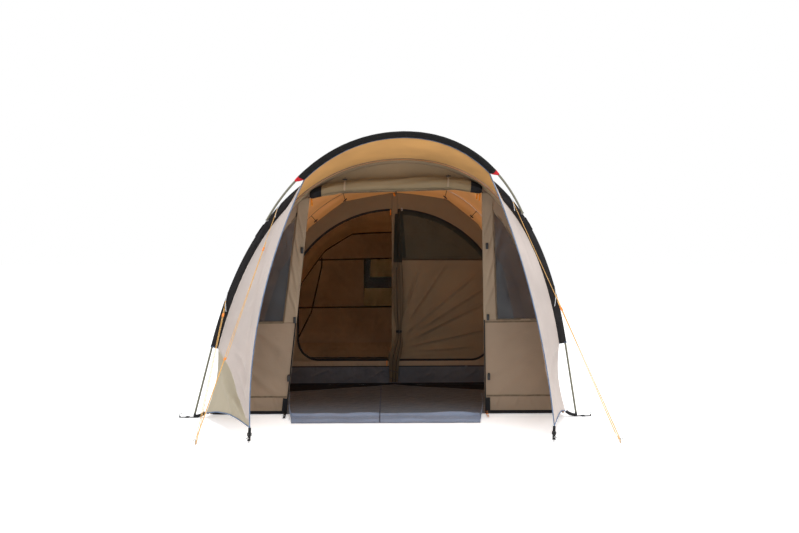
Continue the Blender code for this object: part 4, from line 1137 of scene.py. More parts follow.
@dataclass
class Poles:
    """The arch poles and the canopy pole, with their sleeves, end bands, tips and eyelets.

    Attributes:
        band: width of the binding at a sleeve's end.
        tip: how much of the canopy pole's run the red tips take.
        bare_end: step of the canopy pole's own end.
    """

    band: float = 0.016
    tip: float = 0.030
    bare_end: float = 0.975

    def arch_path(self, arch: Arch) -> Array:
        """The centreline of an arch pole, from its left foot to its right one.

        Args:
            arch: the arch.

        Returns:
            Points of shape (n, 3).
        """
        bow = arch.bow(0.0, ramp(90))
        left = np.vstack([bow, arch.leg(0.0, foot_height(-1.0))]) * (-1.0, 1.0)
        right = np.vstack([bow, arch.leg(0.0, foot_height(1.0))])
        flat = np.vstack([left[:0:-1], right])
        return pitched(xyz(flat[:, 0], arch.depth, flat[:, 1]))

    def build(self) -> None:
        """Makes every pole and sleeve."""
        side = np.array([0.0, 1.0, 0.0])
        for number, (name, arch) in enumerate(ARCHES.items()):
            path = self.arch_path(arch)
            Body().tube(path, POLE_RADIUS, 16).piece(name + "_pole", POLE, "pole", (name + "_arch_pole",))
            covered = path[1:-1]
            cloth = sleeve_grid(resampled(covered, 420), side, SLEEVE_DEPTH, seed=11 + number)
            Body().grid(cloth, closed=True).piece(name + "_sleeve", DARK_SLEEVE, "sleeve",
                                                  (name + "_arch_sleeve",), wall=THIN)
            self.bands(name, covered, side)
            self.plugs(name, path)
            edges = sleeve_grid(resampled(covered, 300), side, SLEEVE_DEPTH)[:, SLEEVE_SEAM]
            welts = Body().tube(edges[:, 0], 0.0024, 8).tube(edges[:, 1], 0.0024, 8)
            welts.piece(name + "_sleeve_welts", TAUPE, "outer_cloth")
        self.canopy()

    def bands(self, name: str, covered: Array, side: Array) -> None:
        """Binding round both lower ends of a sleeve: the sleeve's own section, slightly larger.

        Args:
            name: the arch's name.
            covered: the pole's part under the sleeve.
            side: direction square to the arch.
        """
        fine = resampled(covered, 420)
        count = max(2, int(round(self.band / (length_of(covered) / 419))) + 1)
        body = Body()
        for part in (fine[:count], fine[-count:]):
            body.grid(sleeve_grid(part, side, SLEEVE_DEPTH, grow=0.0022), closed=True)
        body.piece(name + "_sleeve_bands", SLEEVE_BAND, "webbing", wall=THIN)

    def plugs(self, name: str, path: Array) -> None:
        """Black plugs on a pole's feet: short tubes a little wider than the pole.

        Args:
            name: the pole's name.
            path: its centreline.
        """
        body = Body()
        for end, inner in ((path[0], path[1]), (path[-1], path[-2])):
            along = unit(inner - end)
            places = end + along * np.array([0.001, 0.004, 0.022, 0.025])[:, None]
            body.tube(places, POLE_RADIUS + np.array([0.0004, 0.0012, 0.0012, 0.0004]), 16)
        body.piece(name + "_pole_feet", PLASTIC, "plastic")

    def canopy(self) -> None:
        """The canopy pole, its sleeve with red tips, and the eyelets that take its ends."""
        path = pitched(canopy_line(np.linspace(-self.bare_end, self.bare_end, 161)))
        Body().tube(path, POLE_RADIUS, 16).piece("canopy_bow", POLE, "pole", ("canopy_pole",))
        covered = pitched(canopy_line(np.linspace(-CANOPY_TIP, CANOPY_TIP, 260)))
        cloth = sleeve_grid(covered, CANOPY_SIDE, CANOPY_SLEEVE_DEPTH, seed=17)
        Body().grid(cloth, closed=True).piece("canopy_tunnel", BLACK_SLEEVE, "sleeve", ("canopy_sleeve",),
                                              wall=THIN)
        tips = Body()
        for side in SIDES.values():
            steps = np.sort(side * np.linspace(CANOPY_TIP - 0.002, CANOPY_TIP + self.tip, 9))
            part = pitched(canopy_line(steps))
            whole = sleeve_grid(part, CANOPY_SIDE, CANOPY_SLEEVE_DEPTH, grow=0.0012)
            narrow = (np.maximum(0.0, CANOPY_TIP + self.tip - np.abs(steps)) / (self.tip + 0.002)) ** 0.7
            narrow = narrow[:, None, None]
            tight = part[:, None] + unit(whole - part[:, None]) * (POLE_RADIUS + 0.0012)
            tips.grid(blend(tight, whole, narrow), closed=True)
        tips.piece("canopy_tips", RED_CLOTH, "webbing", wall=THIN)
        seam = sleeve_grid(covered, CANOPY_SIDE, CANOPY_SLEEVE_DEPTH)[:, SLEEVE_SEAM].mean(axis=1)
        out = square_to(seam, CANOPY_SIDE)
        piping = seam - out * 0.0022 - CANOPY_SIDE * 0.004
        Body().tube(piping, 0.0032, 10).piece("canopy_piping", BINDING, "webbing")
        for name, side in SIDES.items():
            self.eyelet(name, side)

    def eyelet(self, name: str, side: float) -> None:
        """The patch and ring on the front sleeve that hold an end of the canopy pole.

        Args:
            name: name of its side.
            side: -1 for the left side and 1 for the right one.
        """
        steps = side * np.array([self.bare_end - 0.006, self.bare_end + 0.004])
        start, end = pitched(canopy_line(steps))
        along = unit(end - start)
        Body().ring(end - along * 0.004, along, 0.0105, 0.0022).piece("canopy_eyelet_" + name, STEEL, "steel")
        across = FRONT_ARCH.bow(-0.0112, np.array([0.60, 0.625, 0.65]))
        patch = pitched(xyz(side * across[:, 0], 0.0, across[:, 1]))
        outward = unit(patch[1] - pitched(np.array([0.0, 0.0, 1.0])))
        Body().ribbon(patch, outward, 0.024, 0.002).piece("eyelet_patch_" + name, BLACK_TAPE, "webbing")


# Outer cloth
HEM_BAND = (0.026, 0.0016, 0.0002)
SEAM_BAND = (0.016, 0.0014, 0.0002)


def with_trim(body: Body, path: Array, normal: Array, width: float, height: float, sink: float) -> Body:
    """Adds a band along an edge or seam, sunk a little into the cloth so that no gap shows.

    HEM_BAND and SEAM_BAND hold the width, height and sink of the usual ones.
    """
    return body.ribbon(path - unit(normal) * sink, normal, width, height)


@dataclass
class OuterTent:
    """The fly: two bays, the rear end with its window, and the canopy's hood.

    Attributes:
        pull: height of the tension folds between the poles.
        pucker: height of the small puckers along the seams.
        rear_reach: how far the rear end's foot lies behind the rear arch at its middle.
        rear_foot_reach: the same at its sides.
        window_half, window_foot, window_head: the rear window's half width and heights.
        window_lap: how far its film reaches behind the cloth.
        columns: points across a bay's cloth.
        roof_seam: column of the bays' roof seams, counted from each side.
    """

    pull: float = 0.0035
    pucker: float = 0.0012
    rear_reach: float = 0.42
    rear_foot_reach: float = 0.10
    window_half: float = 0.32
    window_foot: float = 0.62
    window_head: float = 1.21
    window_lap: float = 0.012
    columns: int = 261
    roof_seam: int = 48

    def bay(self, start: float, end: float, rows: int, seed: int) -> Array:
        """A bay's cloth: cross-sections between two poles, with folds along the tent and puckered seams.

        Args:
            start, end: depths of its ends.
            rows: number of its cross-sections.
            seed: number that fixes its folds.

        Returns:
            Points of shape (rows, columns, 3).
        """
        depths = start + (end - start) * (1.0 - np.cos(np.linspace(0.0, math.pi, rows))) / 2.0
        grid = pitched(np.stack([section(depth, SLEEVE_DEPTH, HEM_HEIGHT, self.columns) for depth in depths]))
        share = ((depths - start) / (end - start))[:, None]
        folds = self.pull * bump(share) * ripples(grid, 0.16, seed, (1.0, 7.0, 1.0))
        near = np.exp(-share * (end - start) / 0.05) + np.exp(-(1.0 - share) * (end - start) / 0.05)
        puckers = ripples(grid, 0.035, seed + 1, (1.0, 3.0, 1.0))
        folds = folds + self.pucker * near * bump(share) ** 0.3 * puckers
        return grid + folds[..., None] * outward_normals(grid)

    def build(self) -> None:
        """Makes the fly's pieces."""
        living = self.bay(BAY_EDGE, MIDDLE_ARCH.depth - BAY_EDGE, 70, 21)
        sheet("living_bay", living, OUTER, "outer_cloth", ("fly_living_bay",))
        sleeping = self.bay(MIDDLE_ARCH.depth + BAY_EDGE, REAR_ARCH.depth - BAY_EDGE, 90, 27)
        sheet("sleeping_bay", sleeping, OUTER, "outer_cloth", ("fly_sleeping_bay",))
        for name, grid in (("living", living), ("sleeping", sleeping)):
            self.hems(name, grid)
        self.rear_end()
        self.hood()

    def hems(self, name: str, grid: Array) -> None:
        """The turned and stitched hem along both feet of a bay, and its roof seam.

        Args:
            name: the bay's name.
            grid: its points.
        """
        normals = outward_normals(grid)
        body = Body()
        for column in (2, grid.shape[1] - 3):
            with_trim(body, grid[:, column], normals[:, column], *HEM_BAND)
        for column in (self.roof_seam, grid.shape[1] - 1 - self.roof_seam):
            with_trim(body, grid[1:-1, column], normals[1:-1, column], 0.014, 0.0012, 0.0001)
        body.piece(name + "_bay_seams", PALE_SEAM, "outer_cloth")

    def rear_grid(self, rows: int, columns: int) -> Array:
        """The rear end: straight threads from the rear arch to a curved line on the ground.

        Args:
            rows, columns: numbers of points downwards and across.

        Returns:
            Points of shape (rows, columns, 3).
        """
        top = REAR_ARCH.line(SLEEVE_DEPTH, HEM_HEIGHT, columns)
        top[:, 1] += BAY_EDGE + CLOTH / 2.0
        turns = np.linspace(-math.pi / 2.0, math.pi / 2.0, columns)
        reach = between(self.rear_foot_reach, self.rear_reach, np.cos(turns))
        ground = xyz(top[-1, 0] * np.sin(turns), top[:, 1] + reach, HEM_HEIGHT)
        grid = pitched(ruled(top, ground, rows))
        share = ramp(rows)[:, None]
        folds = self.pull * bump(share) ** 0.7 * ripples(grid, 0.18, 33, (1.0, 1.0, 4.0))
        return raised(grid, folds)

    def rear_end(self) -> None:
        """The rear end with a hole where its window is, the window's film and its frame of tape."""
        grid = self.rear_grid(121, 241)
        centre = pitched(np.array([0.0, REAR_ARCH.depth, (self.window_foot + self.window_head) / 2.0]))
        reach = np.abs((grid[:-1, :-1] + grid[1:, 1:]) / 2.0 - centre)
        half = np.array([self.window_half, (self.window_head - self.window_foot) / 2.0])
        hole, pane = [(reach[..., [0, 2]] < half + grow).all(axis=-1) for grow in (0.0, self.window_lap)]
        sheet("rear_end", grid, OUTER, "outer_cloth", ("fly_rear_end",), keep=~hole)
        normals = outward_normals(grid)
        inward = grid - normals * 0.0012
        sheet("rear_film", inward, WINDOW, "window", ("fly_rear_window",), wall=FILM_WALL,
              keep=pane)
        self.window_frame(grid, centre)
        body = Body()
        with_trim(body, grid[-3], normals[-3], *HEM_BAND)
        with_trim(body, grid[6], normals[6], *SEAM_BAND)
        body.piece("rear_end_seams", PALE_SEAM, "outer_cloth")

    def window_frame(self, grid: Array, centre: Array) -> None:
        """Tape round the rear window, laid on the cloth where straight lines cross the rear end.

        Args:
            grid: the rear end's points.
            centre: the window's middle.
        """
        half, rise = self.window_half, (self.window_head - self.window_foot) / 2.0
        flat, normals = grid.reshape(-1, 3), outward_normals(grid).reshape(-1, 3)
        body = Body()
        corners = np.array([(-half, -rise), (half, -rise), (half, rise), (-half, rise), (-half, -rise)])
        for start, end in zip(corners[:-1], corners[1:]):
            places = centre[[0, 2]] + start + (end - start) * np.linspace(-0.03, 1.03, 24)[:, None]
            nearest = ((flat[None, :, [0, 2]] - places[:, None]) ** 2).sum(-1).argmin(axis=1)
            path = xyz(places[:, 0], flat[nearest, 1], places[:, 1])
            path[:, 1] = np.poly1d(np.polyfit(np.arange(24), path[:, 1], 3))(np.arange(24))
            with_trim(body, path, normals[nearest].mean(axis=0), 0.030, 0.0022, -0.0004)
        body.piece("rear_window_frame", PALE_SEAM, "outer_cloth")

    def hood_front(self, share: Array) -> Array:
        """The hood's front edge, under the canopy sleeve; share is 1 at its right end.

        Args:
            share: -1 at its left end and 1 at its right one.

        Returns:
            Points of shape (n, 3), not yet pitched.
        """
        steps = share * CANOPY_TIP
        pole = canopy_line(steps)
        out = square_to(pole, CANOPY_SIDE)
        return pole - out * (CANOPY_SLEEVE_DEPTH + SLEEVE_CLOTH / 2.0 + CLOTH / 2.0 + 2.0 * SEAM_GAP)

    def hood(self) -> None:
        """The hood: straight threads from the canopy sleeve back to the front arch, sagging a little."""
        share = np.linspace(-1.0, 1.0, 201)
        half = FRONT_ARCH.bow(SLEEVE_DEPTH, np.abs(share) * HOOD_END)
        back = xyz(half[:, 0] * np.where(share < 0.0, -1.0, 1.0), -BAY_EDGE - GAP, half[:, 1])
        grid = ruled(self.hood_front(share), back, 49)
        rows = ramp(49)[:, None]
        grid[..., 2] -= HOOD_SAG * np.sin(math.pi * rows) * (1.0 - share[None] ** 2)
        slack = bump(rows) ** 0.5 * (0.4 + 0.6 * np.abs(share[None]) ** 3)
        grid[..., 2] += 0.0022 * slack * ripples(grid, 0.12, 41, (1.0, 5.0, 1.0))
        grid = pitched(grid)
        sheet("hood", grid, HOOD, "hood_cloth", ("canopy_hood",))
        normals = outward_normals(grid)
        body = Body()
        for row in (1, 47):
            with_trim(body, grid[row, 1:-1], normals[row, 1:-1], *SEAM_BAND)
        body.piece("hood_seams", SEAM, "hood_cloth")


@dataclass
class Wings:
    """The porch's side wings, each an upper panel over a corner panel, bound at its free edges; the left
    corner panel is painted khaki as painted shade.

    Attributes:
        heel, toe: a right wing's corners on the ground, by the arch and in front.
        bow, hollow: how far its front edge bows out and its middle lies inwards.
        hem_rise: how far its hem rises between the corners.
        free_edge: how far its free rear edge curves inwards.
        shift: how far both toes are pegged to the right.
        knee: share of the way down at which the sleeve ends.
    """

    heel: tuple = (1.404, -0.020, 0.040)
    toe: tuple = (1.040, -0.750, 0.100)
    bow: float = 0.090
    hollow: float = 0.050
    hem_rise: float = 0.045
    free_edge: float = 0.030
    shift: float = 0.110
    knee: float = 9.0 / 14.0

    def split(self, across: Array) -> Array:
        """Share of the way down at which the corner panel's seam runs, from the sleeve's end to the toe."""
        return between(self.knee, 0.985, across)

    def surface(self, side: float, across: Array, down: Array, tip: Array) -> Array:
        """A wing's points from its rear edge (across 0) to its front edge (across 1), top to hem.

        The rear edge follows the front arch's sleeve to its end and then runs free to the heel. Straight
        threads join it to the bowed front edge; the middle lies inwards, and folds fan out from the knee.

        Args:
            side: -1 for the left side and 1 for the right one.
            across, down: shares of the way across and down.
            tip: where the right wing's front edge begins, not yet pitched.

        Returns:
            Points of shape (rows, columns, 3).
        """
        steps = between(HOOD_END, 1.0, clamp(down / self.knee))
        edge = FRONT_ARCH.bow(SLEEVE_DEPTH, steps.ravel()).reshape(*steps.shape, 2)
        front = -(BAY_EDGE + 2.0 * SEAM_GAP)
        rear = xyz(edge[..., 0], front, edge[..., 1])
        free = clamp((down - self.knee) / (1.0 - self.knee))[..., None]
        rear = blend(rear, np.array(self.heel), free)
        rear[..., 0] -= self.free_edge * np.sin(math.pi * free[..., 0])
        rear[..., 2] -= (CLOTH + SEAM_GAP) * np.exp(-down / 0.02)
        toe = np.array(self.toe)
        lead = between(tip, toe, down[..., None])
        lead[..., 0] += self.bow * bump(down)
        place = blend(rear, lead, across[..., None])
        inside = np.sin(math.pi * across)
        place[..., 2] += self.hem_rise * inside * down ** 8
        place[..., 0] -= self.hollow * inside * np.sqrt(np.maximum(np.sin(math.pi * down), 0.0))
        place[..., 0] *= side
        place[..., 0] += self.shift * (place[..., 1] / toe[1]) * down ** 1.2
        return pitched(place)

    def folds(self, across: Array, down: Array, side: float) -> Array:
        """Heights of the folds: a fan from the knee to the toe, long pulls along the front, small ripples.

        Args:
            across, down: shares of the way across and down.
            side: -1 for the left side and 1 for the right one.

        Returns:
            Heights at the points.
        """
        fan = [(0.03, 0.645, 0.985, 0.975, 0.020, 0.020), (0.12, 0.655, 0.93, 0.90, 0.018, 0.024),
               (0.05, 0.625, 0.84, 0.78, 0.010, 0.020), (0.06, 0.70, 0.74, 0.95, -0.012, 0.030),
               (0.10, 0.80, 0.62, 0.99, 0.009, 0.022), (0.55, 0.55, 0.99, 0.95, 0.008, 0.022),
               (0.40, 0.90, 0.92, 0.99, 0.010, 0.016), (0.02, 0.56, 0.60, 0.50, 0.006, 0.025)]
        steep = 1.6 if side < 0.0 else 0.7
        height = steep * creases(across, down, fan)
        spread = xyz(across * 0.85, down * 1.8, side)
        height = height + 0.0022 * ripples(spread, 0.30, 51, (0.5, 3.0, 1.0)) * np.sin(math.pi * across)
        return height * clamp(bump(across) * 4.0)

    def build(self, hood: OuterTent) -> None:
        """Makes both wings, their seams and bindings.

        Args:
            hood: the outer tent, whose hood the wings meet.
        """
        share = np.linspace(-1.0, 1.0, 201)
        tip = hood.hood_front(share)[-1] + np.array([0.0, 0.0, -(CLOTH / 2.0 + SEAM_GAP)])
        for name, side in SIDES.items():
            self.wing(name, side, tip)

    def wing(self, name: str, side: float, tip: Array) -> None:
        """One wing from its two panels, whose shared seam follows the fold from the knee to the toe.

        Args:
            name: name of its side.
            side: -1 for the left side and 1 for the right one.
            tip: as for surface.
        """
        across = ramp(111)[None, :]
        split = self.split(across)
        upper = ramp(141)[:, None] * split
        lower = split + ramp(51)[:, None] * (1.0 - split)
        grids = []
        for down in (upper, lower):
            wide = np.broadcast_to(across, down.shape)
            base = self.surface(side, wide, down, tip)
            normals = outward_normals(base)
            grids.append((base + self.folds(wide, down, side)[..., None] * normals, normals))
        (panel, out), (corner, corner_out) = grids
        sheet("wing_panel_" + name, panel, WING, "outer_cloth", ("wing_" + name,))
        # Only the left corner panel gets the khaki painted shade; the right one keeps the wing cloth.
        sheet("wing_corner_" + name, corner, KHAKI_SHADE_CLOTH if side < 0.0 else WING, "outer_cloth")
        seams = Body()
        with_trim(seams, corner[1, 1:-2], corner_out[1, 1:-2], 0.012, 0.0014, 0.0002)
        with_trim(seams, panel[1:, 0], out[1:, 0], 0.014, 0.0014, 0.0002)
        seams.piece("wing_seams_" + name, PALE_SEAM, "outer_cloth")
        edge = np.vstack([panel[:, -1], corner[1:, -1]])
        binding = Body().tube(resampled(edge, 90), 0.0042, 10)
        binding.tube(corner[-1], 0.0042, 10)
        binding.piece("wing_binding_" + name, BINDING, "webbing")


# Front wall, windows and rolled door
@dataclass
class FrontWall:
    """The wall behind the front arch: two side panels with windows, a lunette over the door, and trim.

    Attributes:
        depth: where it stands.
        foot: height of its lower edge.
        door_foot, door_head: half the doorway's width at its foot and head.
        head: height of the doorway.
        window_foot, window_head, window_shoulder: heights of the windows' foot and of their slanted top.
        window_inner: distance of a window's inner edge from the middle, at its foot and head.
        margin: width of cloth between window and arch.
        flap: height of the mud flap's seam.
    """

    depth: float = WALL_DEPTH
    foot: float = 0.0043
    door_foot: float = 0.790
    door_head: float = 0.680
    head: float = 1.775
    window_foot: float = 0.745
    window_head: float = 1.62
    window_shoulder: float = 1.53
    window_inner: tuple = (0.850, 0.780)
    margin: float = 0.09
    flap: float = 0.145

    def door_edge(self, height: Array | float) -> Array:
        """Distance of the doorway's edge from the middle at a height."""
        share = (np.asarray(height) - self.foot) / (self.head - self.foot)
        return between(self.door_foot, self.door_head, share)

    def place(self, side: float, across: Array, up: Array, ahead: Array | float = 0.0) -> Array:
        """Points on the wall, or ahead of it."""
        return pitched(xyz(side * np.asarray(across), self.depth - np.asarray(ahead), up))

    def levels(self, span: Array) -> Array:
        """Heights of the foot, the window's foot and top, and the doorway's head, above each column."""
        top = np.interp(span, [1.0, 2.0], [self.window_head, self.window_shoulder])
        return np.stack(np.broadcast_arrays(self.foot, self.window_foot, top, self.head))

    def panel(self, span: Array, rise: Array) -> tuple[Array, Array]:
        """A side panel's (across, up).

        Span 0 to 3 runs over the door's edge, the window's two edges and the arch, rise 0 to 3 over the
        levels.

        Args:
            span, rise: places along both, each growing.

        Returns:
            Distances from the middle, and heights.
        """
        levels = self.levels(span)
        low = np.clip(np.floor(rise).astype(int), 0, 2)
        part = (rise - low)[:, None]
        up = blend(levels[low], levels[low + 1], part)
        arch = section(self.depth, WALL_INSET, self.foot, 361)
        window = section(self.depth, SLEEVE_DEPTH, HEM_HEIGHT, 361)
        near, far = self.door_edge(up), width_at(arch, up)
        share = np.clip((up - self.window_foot) / (self.window_head - self.window_foot), -1.0, 1.0)
        inner = between(*self.window_inner, share)
        outer = width_at(window, up) - self.margin
        width = far - near
        stops = np.stack(np.broadcast_arrays(0.0, (inner - near) / width, (outer - near) / width, 1.0))
        even = clamp(rise - 2.0)[:, None]
        left, column = np.clip(np.floor(span).astype(int), 0, 2), np.arange(len(span))
        share = blend(stops[left, :, column].T, stops[left + 1, :, column].T, span - left)
        share = blend(share, span / 3.0, even)
        return between(near, far, share), up

    def relief(self, side: float, across: Array, up: Array, span: Array, rise: Array) -> Array:
        """Heights of the wall's folds: slack from the arch, pulls at the door's edge, small ripples.

        Args:
            side: -1 for the left side and 1 for the right one.
            across, up: flat coordinates of the panel's points.
            span, rise: as for panel.

        Returns:
            Heights at the points.
        """
        pulls = [(0.80, 0.30, 1.30, 0.55, 0.006, 0.030), (0.84, 0.12, 1.22, 0.46, 0.006, 0.026),
                 (0.92, 0.02, 1.34, 0.30, 0.005, 0.024), (0.83, 0.50, 1.12, 0.74, 0.007, 0.034),
                 (0.76, 1.00, 0.90, 1.60, 0.004, 0.020), (0.86, 0.02, 0.90, 0.14, 0.004, 0.010),
                 (1.02, 0.02, 1.05, 0.14, 0.004, 0.010), (1.17, 0.02, 1.14, 0.14, 0.003, 0.008),
                 (0.86, 0.62, 1.28, 0.70, 0.005, 0.022)]
        points = xyz(across, side, up)
        height = creases(across, up, pulls) + 0.0016 * ripples(points, 0.16, 61 + int(side), (1.0, 1.0, 2.0))
        calm = clamp(bump(span / 3.0) * 5.0)[None, :] * clamp((3.0 - rise) * 2.0)[:, None]
        return height * calm * clamp(rise * 8.0)[:, None]

    def build(self) -> None:
        """Makes the wall, its windows and its trim."""
        span = np.concatenate([ramp(17), np.linspace(1.0, 2.0, 41)[1:], np.linspace(2.0, 3.0, 17)[1:]])
        rise = np.concatenate([ramp(71), np.linspace(1.0, 2.0, 61)[1:], np.linspace(2.0, 3.0, 21)[1:]])
        in_row, in_column = [(steps[:-1] >= 1.0) & (steps[1:] <= 2.0) for steps in (rise, span)]
        hole = in_row[:, None] & in_column[None, :]
        for name, side in SIDES.items():
            across, up = self.panel(span, rise)
            lift = self.relief(side, across, up, span, rise)
            grid = self.place(side, across, up, lift)
            sheet("front_panel_" + name, grid, TAUPE, "wall_cloth",
                  ("front_wall",) if side > 0.0 else (), keep=~hole)
            self.window(name, grid, span, rise)
            self.seams(name, side, grid)
            self.trim(name, side)
        self.lunette()

    def window(self, name: str, grid: Array, span: Array, rise: Array) -> None:
        """A pane just behind its opening, and the seam round it.

        Args:
            name: name of its side.
            grid: the panel's points.
            span, rise: as for panel.
        """
        rows = np.flatnonzero((rise >= 1.0) & (rise <= 2.0))
        columns = np.flatnonzero((span >= 1.0) & (span <= 2.0))
        pane = grid[rows[0]:rows[-1] + 1, columns[0]:columns[-1] + 1].copy()
        opening = np.concatenate([pane[0], pane[1:, -1], pane[-1, -2::-1], pane[-2::-1, 0]])
        middle = opening.mean(axis=0)
        pane[..., [0, 2]] = between(middle[[0, 2]], pane[..., [0, 2]], 1.03)
        slack = ripples(pane, 0.25, 67, (1.0, 1.0, 1.6)) * 0.0012
        pane[..., 1] += 0.0032 + np.abs(slack)
        sheet("window_film_" + name, pane, WINDOW, "window", ("window_" + name,), wall=FILM_WALL)
        body = Body()
        for edge in (pane[0], pane[:, -1], pane[-1], pane[:, 0]):
            path = edge.copy()
            path[:, [0, 2]] = middle[[0, 2]] + (path[:, [0, 2]] - middle[[0, 2]]) / 1.018
            path[:, 1] = grid[..., 1].mean() - 0.0006
            body.ribbon(path, FORWARD, 0.012, 0.0014)
        body.piece("window_seam_" + name, SEAM, "wall_cloth")

    def seams(self, name: str, side: float, grid: Array) -> None:
        """The light cloth between door and window, the seams across the panel, the black tape at its foot.

        Args:
            name: name of its side.
            side: -1 for the left side and 1 for the right one.
            grid: the panel's points.
        """
        share = ramp(120)[:, None]
        up = self.window_foot - 0.004 + (self.head - 0.03 - self.window_foot) * share
        slant = clamp((up - self.window_foot) / (self.window_head - self.window_foot))
        inner = between(*self.window_inner, slant)
        near = self.door_edge(up)
        arch = section(self.depth, WALL_INSET, self.foot, 361)
        outer = np.minimum(inner - 0.007, width_at(arch, up) - 0.014)
        across = between(near, outer, ramp(19)[None, :])
        up = np.broadcast_to(up, across.shape)
        pulls = [(0.74, 0.80, 0.84, 1.10, 0.006, 0.012), (0.75, 1.00, 0.82, 1.34, 0.006, 0.012),
                 (0.73, 1.20, 0.80, 1.52, 0.005, 0.010), (0.71, 1.40, 0.78, 1.66, 0.004, 0.010)]
        lift = creases(across, up, pulls) * clamp(4.0 * bump(ramp(19)))[None, :]
        sheet("door_facing_" + name, self.place(side, across, up, lift + 0.0085), FACING, "wall_cloth")
        body = Body()
        for height in (self.flap, self.window_foot - 0.012):
            row = int(np.abs(grid[:71, 0, 2] - height).argmin())
            body.ribbon(grid[row, 2:-2] + (0.0, -0.0008, 0.0), FORWARD, 0.014, 0.0022)
        body.piece("front_seams_" + name, SEAM, "wall_cloth")
        reach = between(self.door_foot, width_at(arch, 0.02), np.linspace(0.0, 0.99, 60))
        tape = Body().ribbon(self.place(side, reach, 0.016, 0.0006), FORWARD, 0.022, 0.0018)
        tape.piece("mud_flap_tape_" + name, BLACK_TAPE, "webbing")

    def trim(self, name: str, side: float) -> None:
        """The door's zip, its toggles with their loops, the hook-and-loop patch and the corner's peg loop.

        Args:
            name: name of its side.
            side: -1 for the left side and 1 for the right one.
        """
        rows = np.linspace(self.foot + 0.002, self.head - 0.03, 120)
        edge = self.place(side, self.door_edge(rows) + 0.006, rows, 0.0052)
        zip_body = Body().ribbon(edge, FORWARD, 0.010, 0.0012)
        zip_body.tube(edge + (-side * 0.003, -0.0018, 0.0), 0.0022, 8)
        zip_body.piece("door_zip_" + name, BLACK_TAPE, "webbing")
        pulls = Body()
        for number in range(1 if side < 0.0 else 2):
            top = self.place(side, self.door_edge(1.72) - 0.016 - 0.022 * number, 1.735, 0.012)
            hang = np.array([-side * 0.006, -0.004, -0.058 + 0.014 * number])
            pulls.ribbon(top + ramp(8)[:, None] * hang, FORWARD, 0.013, 0.0018)
        pulls.piece("door_zip_pulls_" + name, ORANGE_TAPE, "webbing")
        shift = 0.015 if side < 0.0 else 0.035
        toggles, loops = Body(), Body()
        for height in (0.30, 0.77, 1.33):
            top = self.place(side, self.door_edge(height) + shift, height + 0.022, 0.0048)
            low = self.place(side, self.door_edge(height) + shift, height - 0.014, 0.0110)
            loops.ribbon(segment(top, low, 8), (0.0, -1.0, -0.15), 0.016, 0.0016)
            toggles.block((0.022, 0.010, 0.050), low + (0.0, -0.006, 0.006), edge=0.004)
        toggles.piece("door_toggles_" + name, PLASTIC, "plastic")
        loops.piece("toggle_loops_" + name, BLACK_TAPE, "webbing")
        rows = np.linspace(0.012, 0.128, 12)
        patch = self.place(side, self.door_edge(rows) + 0.022, rows, 0.0052)
        Body().ribbon(patch, FORWARD, 0.042, 0.0026).piece("hook_and_loop_" + name, BLACK_TAPE, "webbing")
        self.corner(side)

    def corner(self, side: float) -> None:
        """The strap of black webbing or orange cord that pegs the doorway's lower corner to the ground.

        Args:
            side: -1 for the left side and 1 for the right one.
        """
        start = self.place(side, self.door_foot + 0.014, 0.022, 0.006)
        end = start + np.array([-side * 0.012, -0.155, 0.0])
        path = segment(start, end, 24)
        path[:, 2] = between(0.0052, start[2], (1.0 - ramp(24)) ** 4)
        if side < 0.0:
            Body().ribbon(path, (0.0, 0.15, 1.0), 0.020, 0.0018).piece("corner_strap", BLACK_TAPE, "webbing")
            ring = Body().ring(end + (0.0, -0.008, 0.0026), (0.0, 0.3, 1.0), 0.011, 0.0018)
            ring.piece("corner_ring", STEEL, "steel")
            return
        turns = np.linspace(0.0, math.pi, 12)[1:-1]
        bend = end + xyz(0.006 * np.cos(turns), -0.006 * np.sin(turns) - 0.004, 0.001)
        loop = np.vstack([path + (0.006, 0.0, 0.001), bend, path[::-1] + (-0.006, 0.0, 0.001)])
        Body().tube(loop, 0.0017, 8).piece("corner_loop", ORANGE_CORD, "rope")
        grip = Body().block((0.024, 0.014, 0.007), end + (0.0, 0.030, 0.0048), edge=0.002)
        grip.piece("corner_grip", ORANGE_PLASTIC, "runner")
        tip = end + (0.0, -0.004, -0.005)
        peg = tip + np.array([(0.0, 0.0, 0.0), (0.0, 0.0, 0.014), (0.003, -0.001, 0.020),
                              (0.009, -0.001, 0.020)])
        Body().tube(resampled(peg, 16), 0.0022, 10).piece("corner_peg", STEEL, "steel")

    def lunette(self) -> None:
        """The wall over the doorway, up to the arch, with a seam along its foot."""
        arch = section(self.depth, WALL_INSET, self.foot, 1201)
        top = resampled(arch[arch[:, 2] >= self.head + 0.001], 161)
        low = top.copy()
        low[:, 0] = np.linspace(top[0, 0], top[-1, 0], 161)
        low[:, 2] = self.head
        grid = ruled(low, top, 41)
        rows = ramp(41)[:, None]
        folds = [(-0.42, 1.80, -0.20, 1.98, 0.004, 0.020), (0.40, 1.80, 0.18, 1.98, 0.004, 0.020),
                 (-0.02, 1.78, 0.04, 2.00, 0.003, 0.020)]
        lift = creases(grid[..., 0], grid[..., 2], folds) + 0.0012 * ripples(grid, 0.15, 79)
        grid[..., 1] -= lift * bump(rows)
        sheet("front_lunette", pitched(grid), LUNETTE, "wall_cloth")
        seam = pitched(xyz(np.linspace(low[0, 0] + 0.01, low[-1, 0] - 0.01, 90), self.depth - 0.0006,
                           self.head + 0.006))
        body = Body().ribbon(seam, FORWARD, 0.022, 0.0016)
        body.piece("lunette_seam", SEAM, "wall_cloth")
        ends = [section(depth, WALL_INSET + 0.007, HEM_HEIGHT, 241)
                for depth in (BAY_EDGE + 0.003, self.depth - 0.003)]
        sheet("front_wall_rim", pitched(ruled(ends[0], ends[1], 7)), LUNETTE, "wall_cloth")


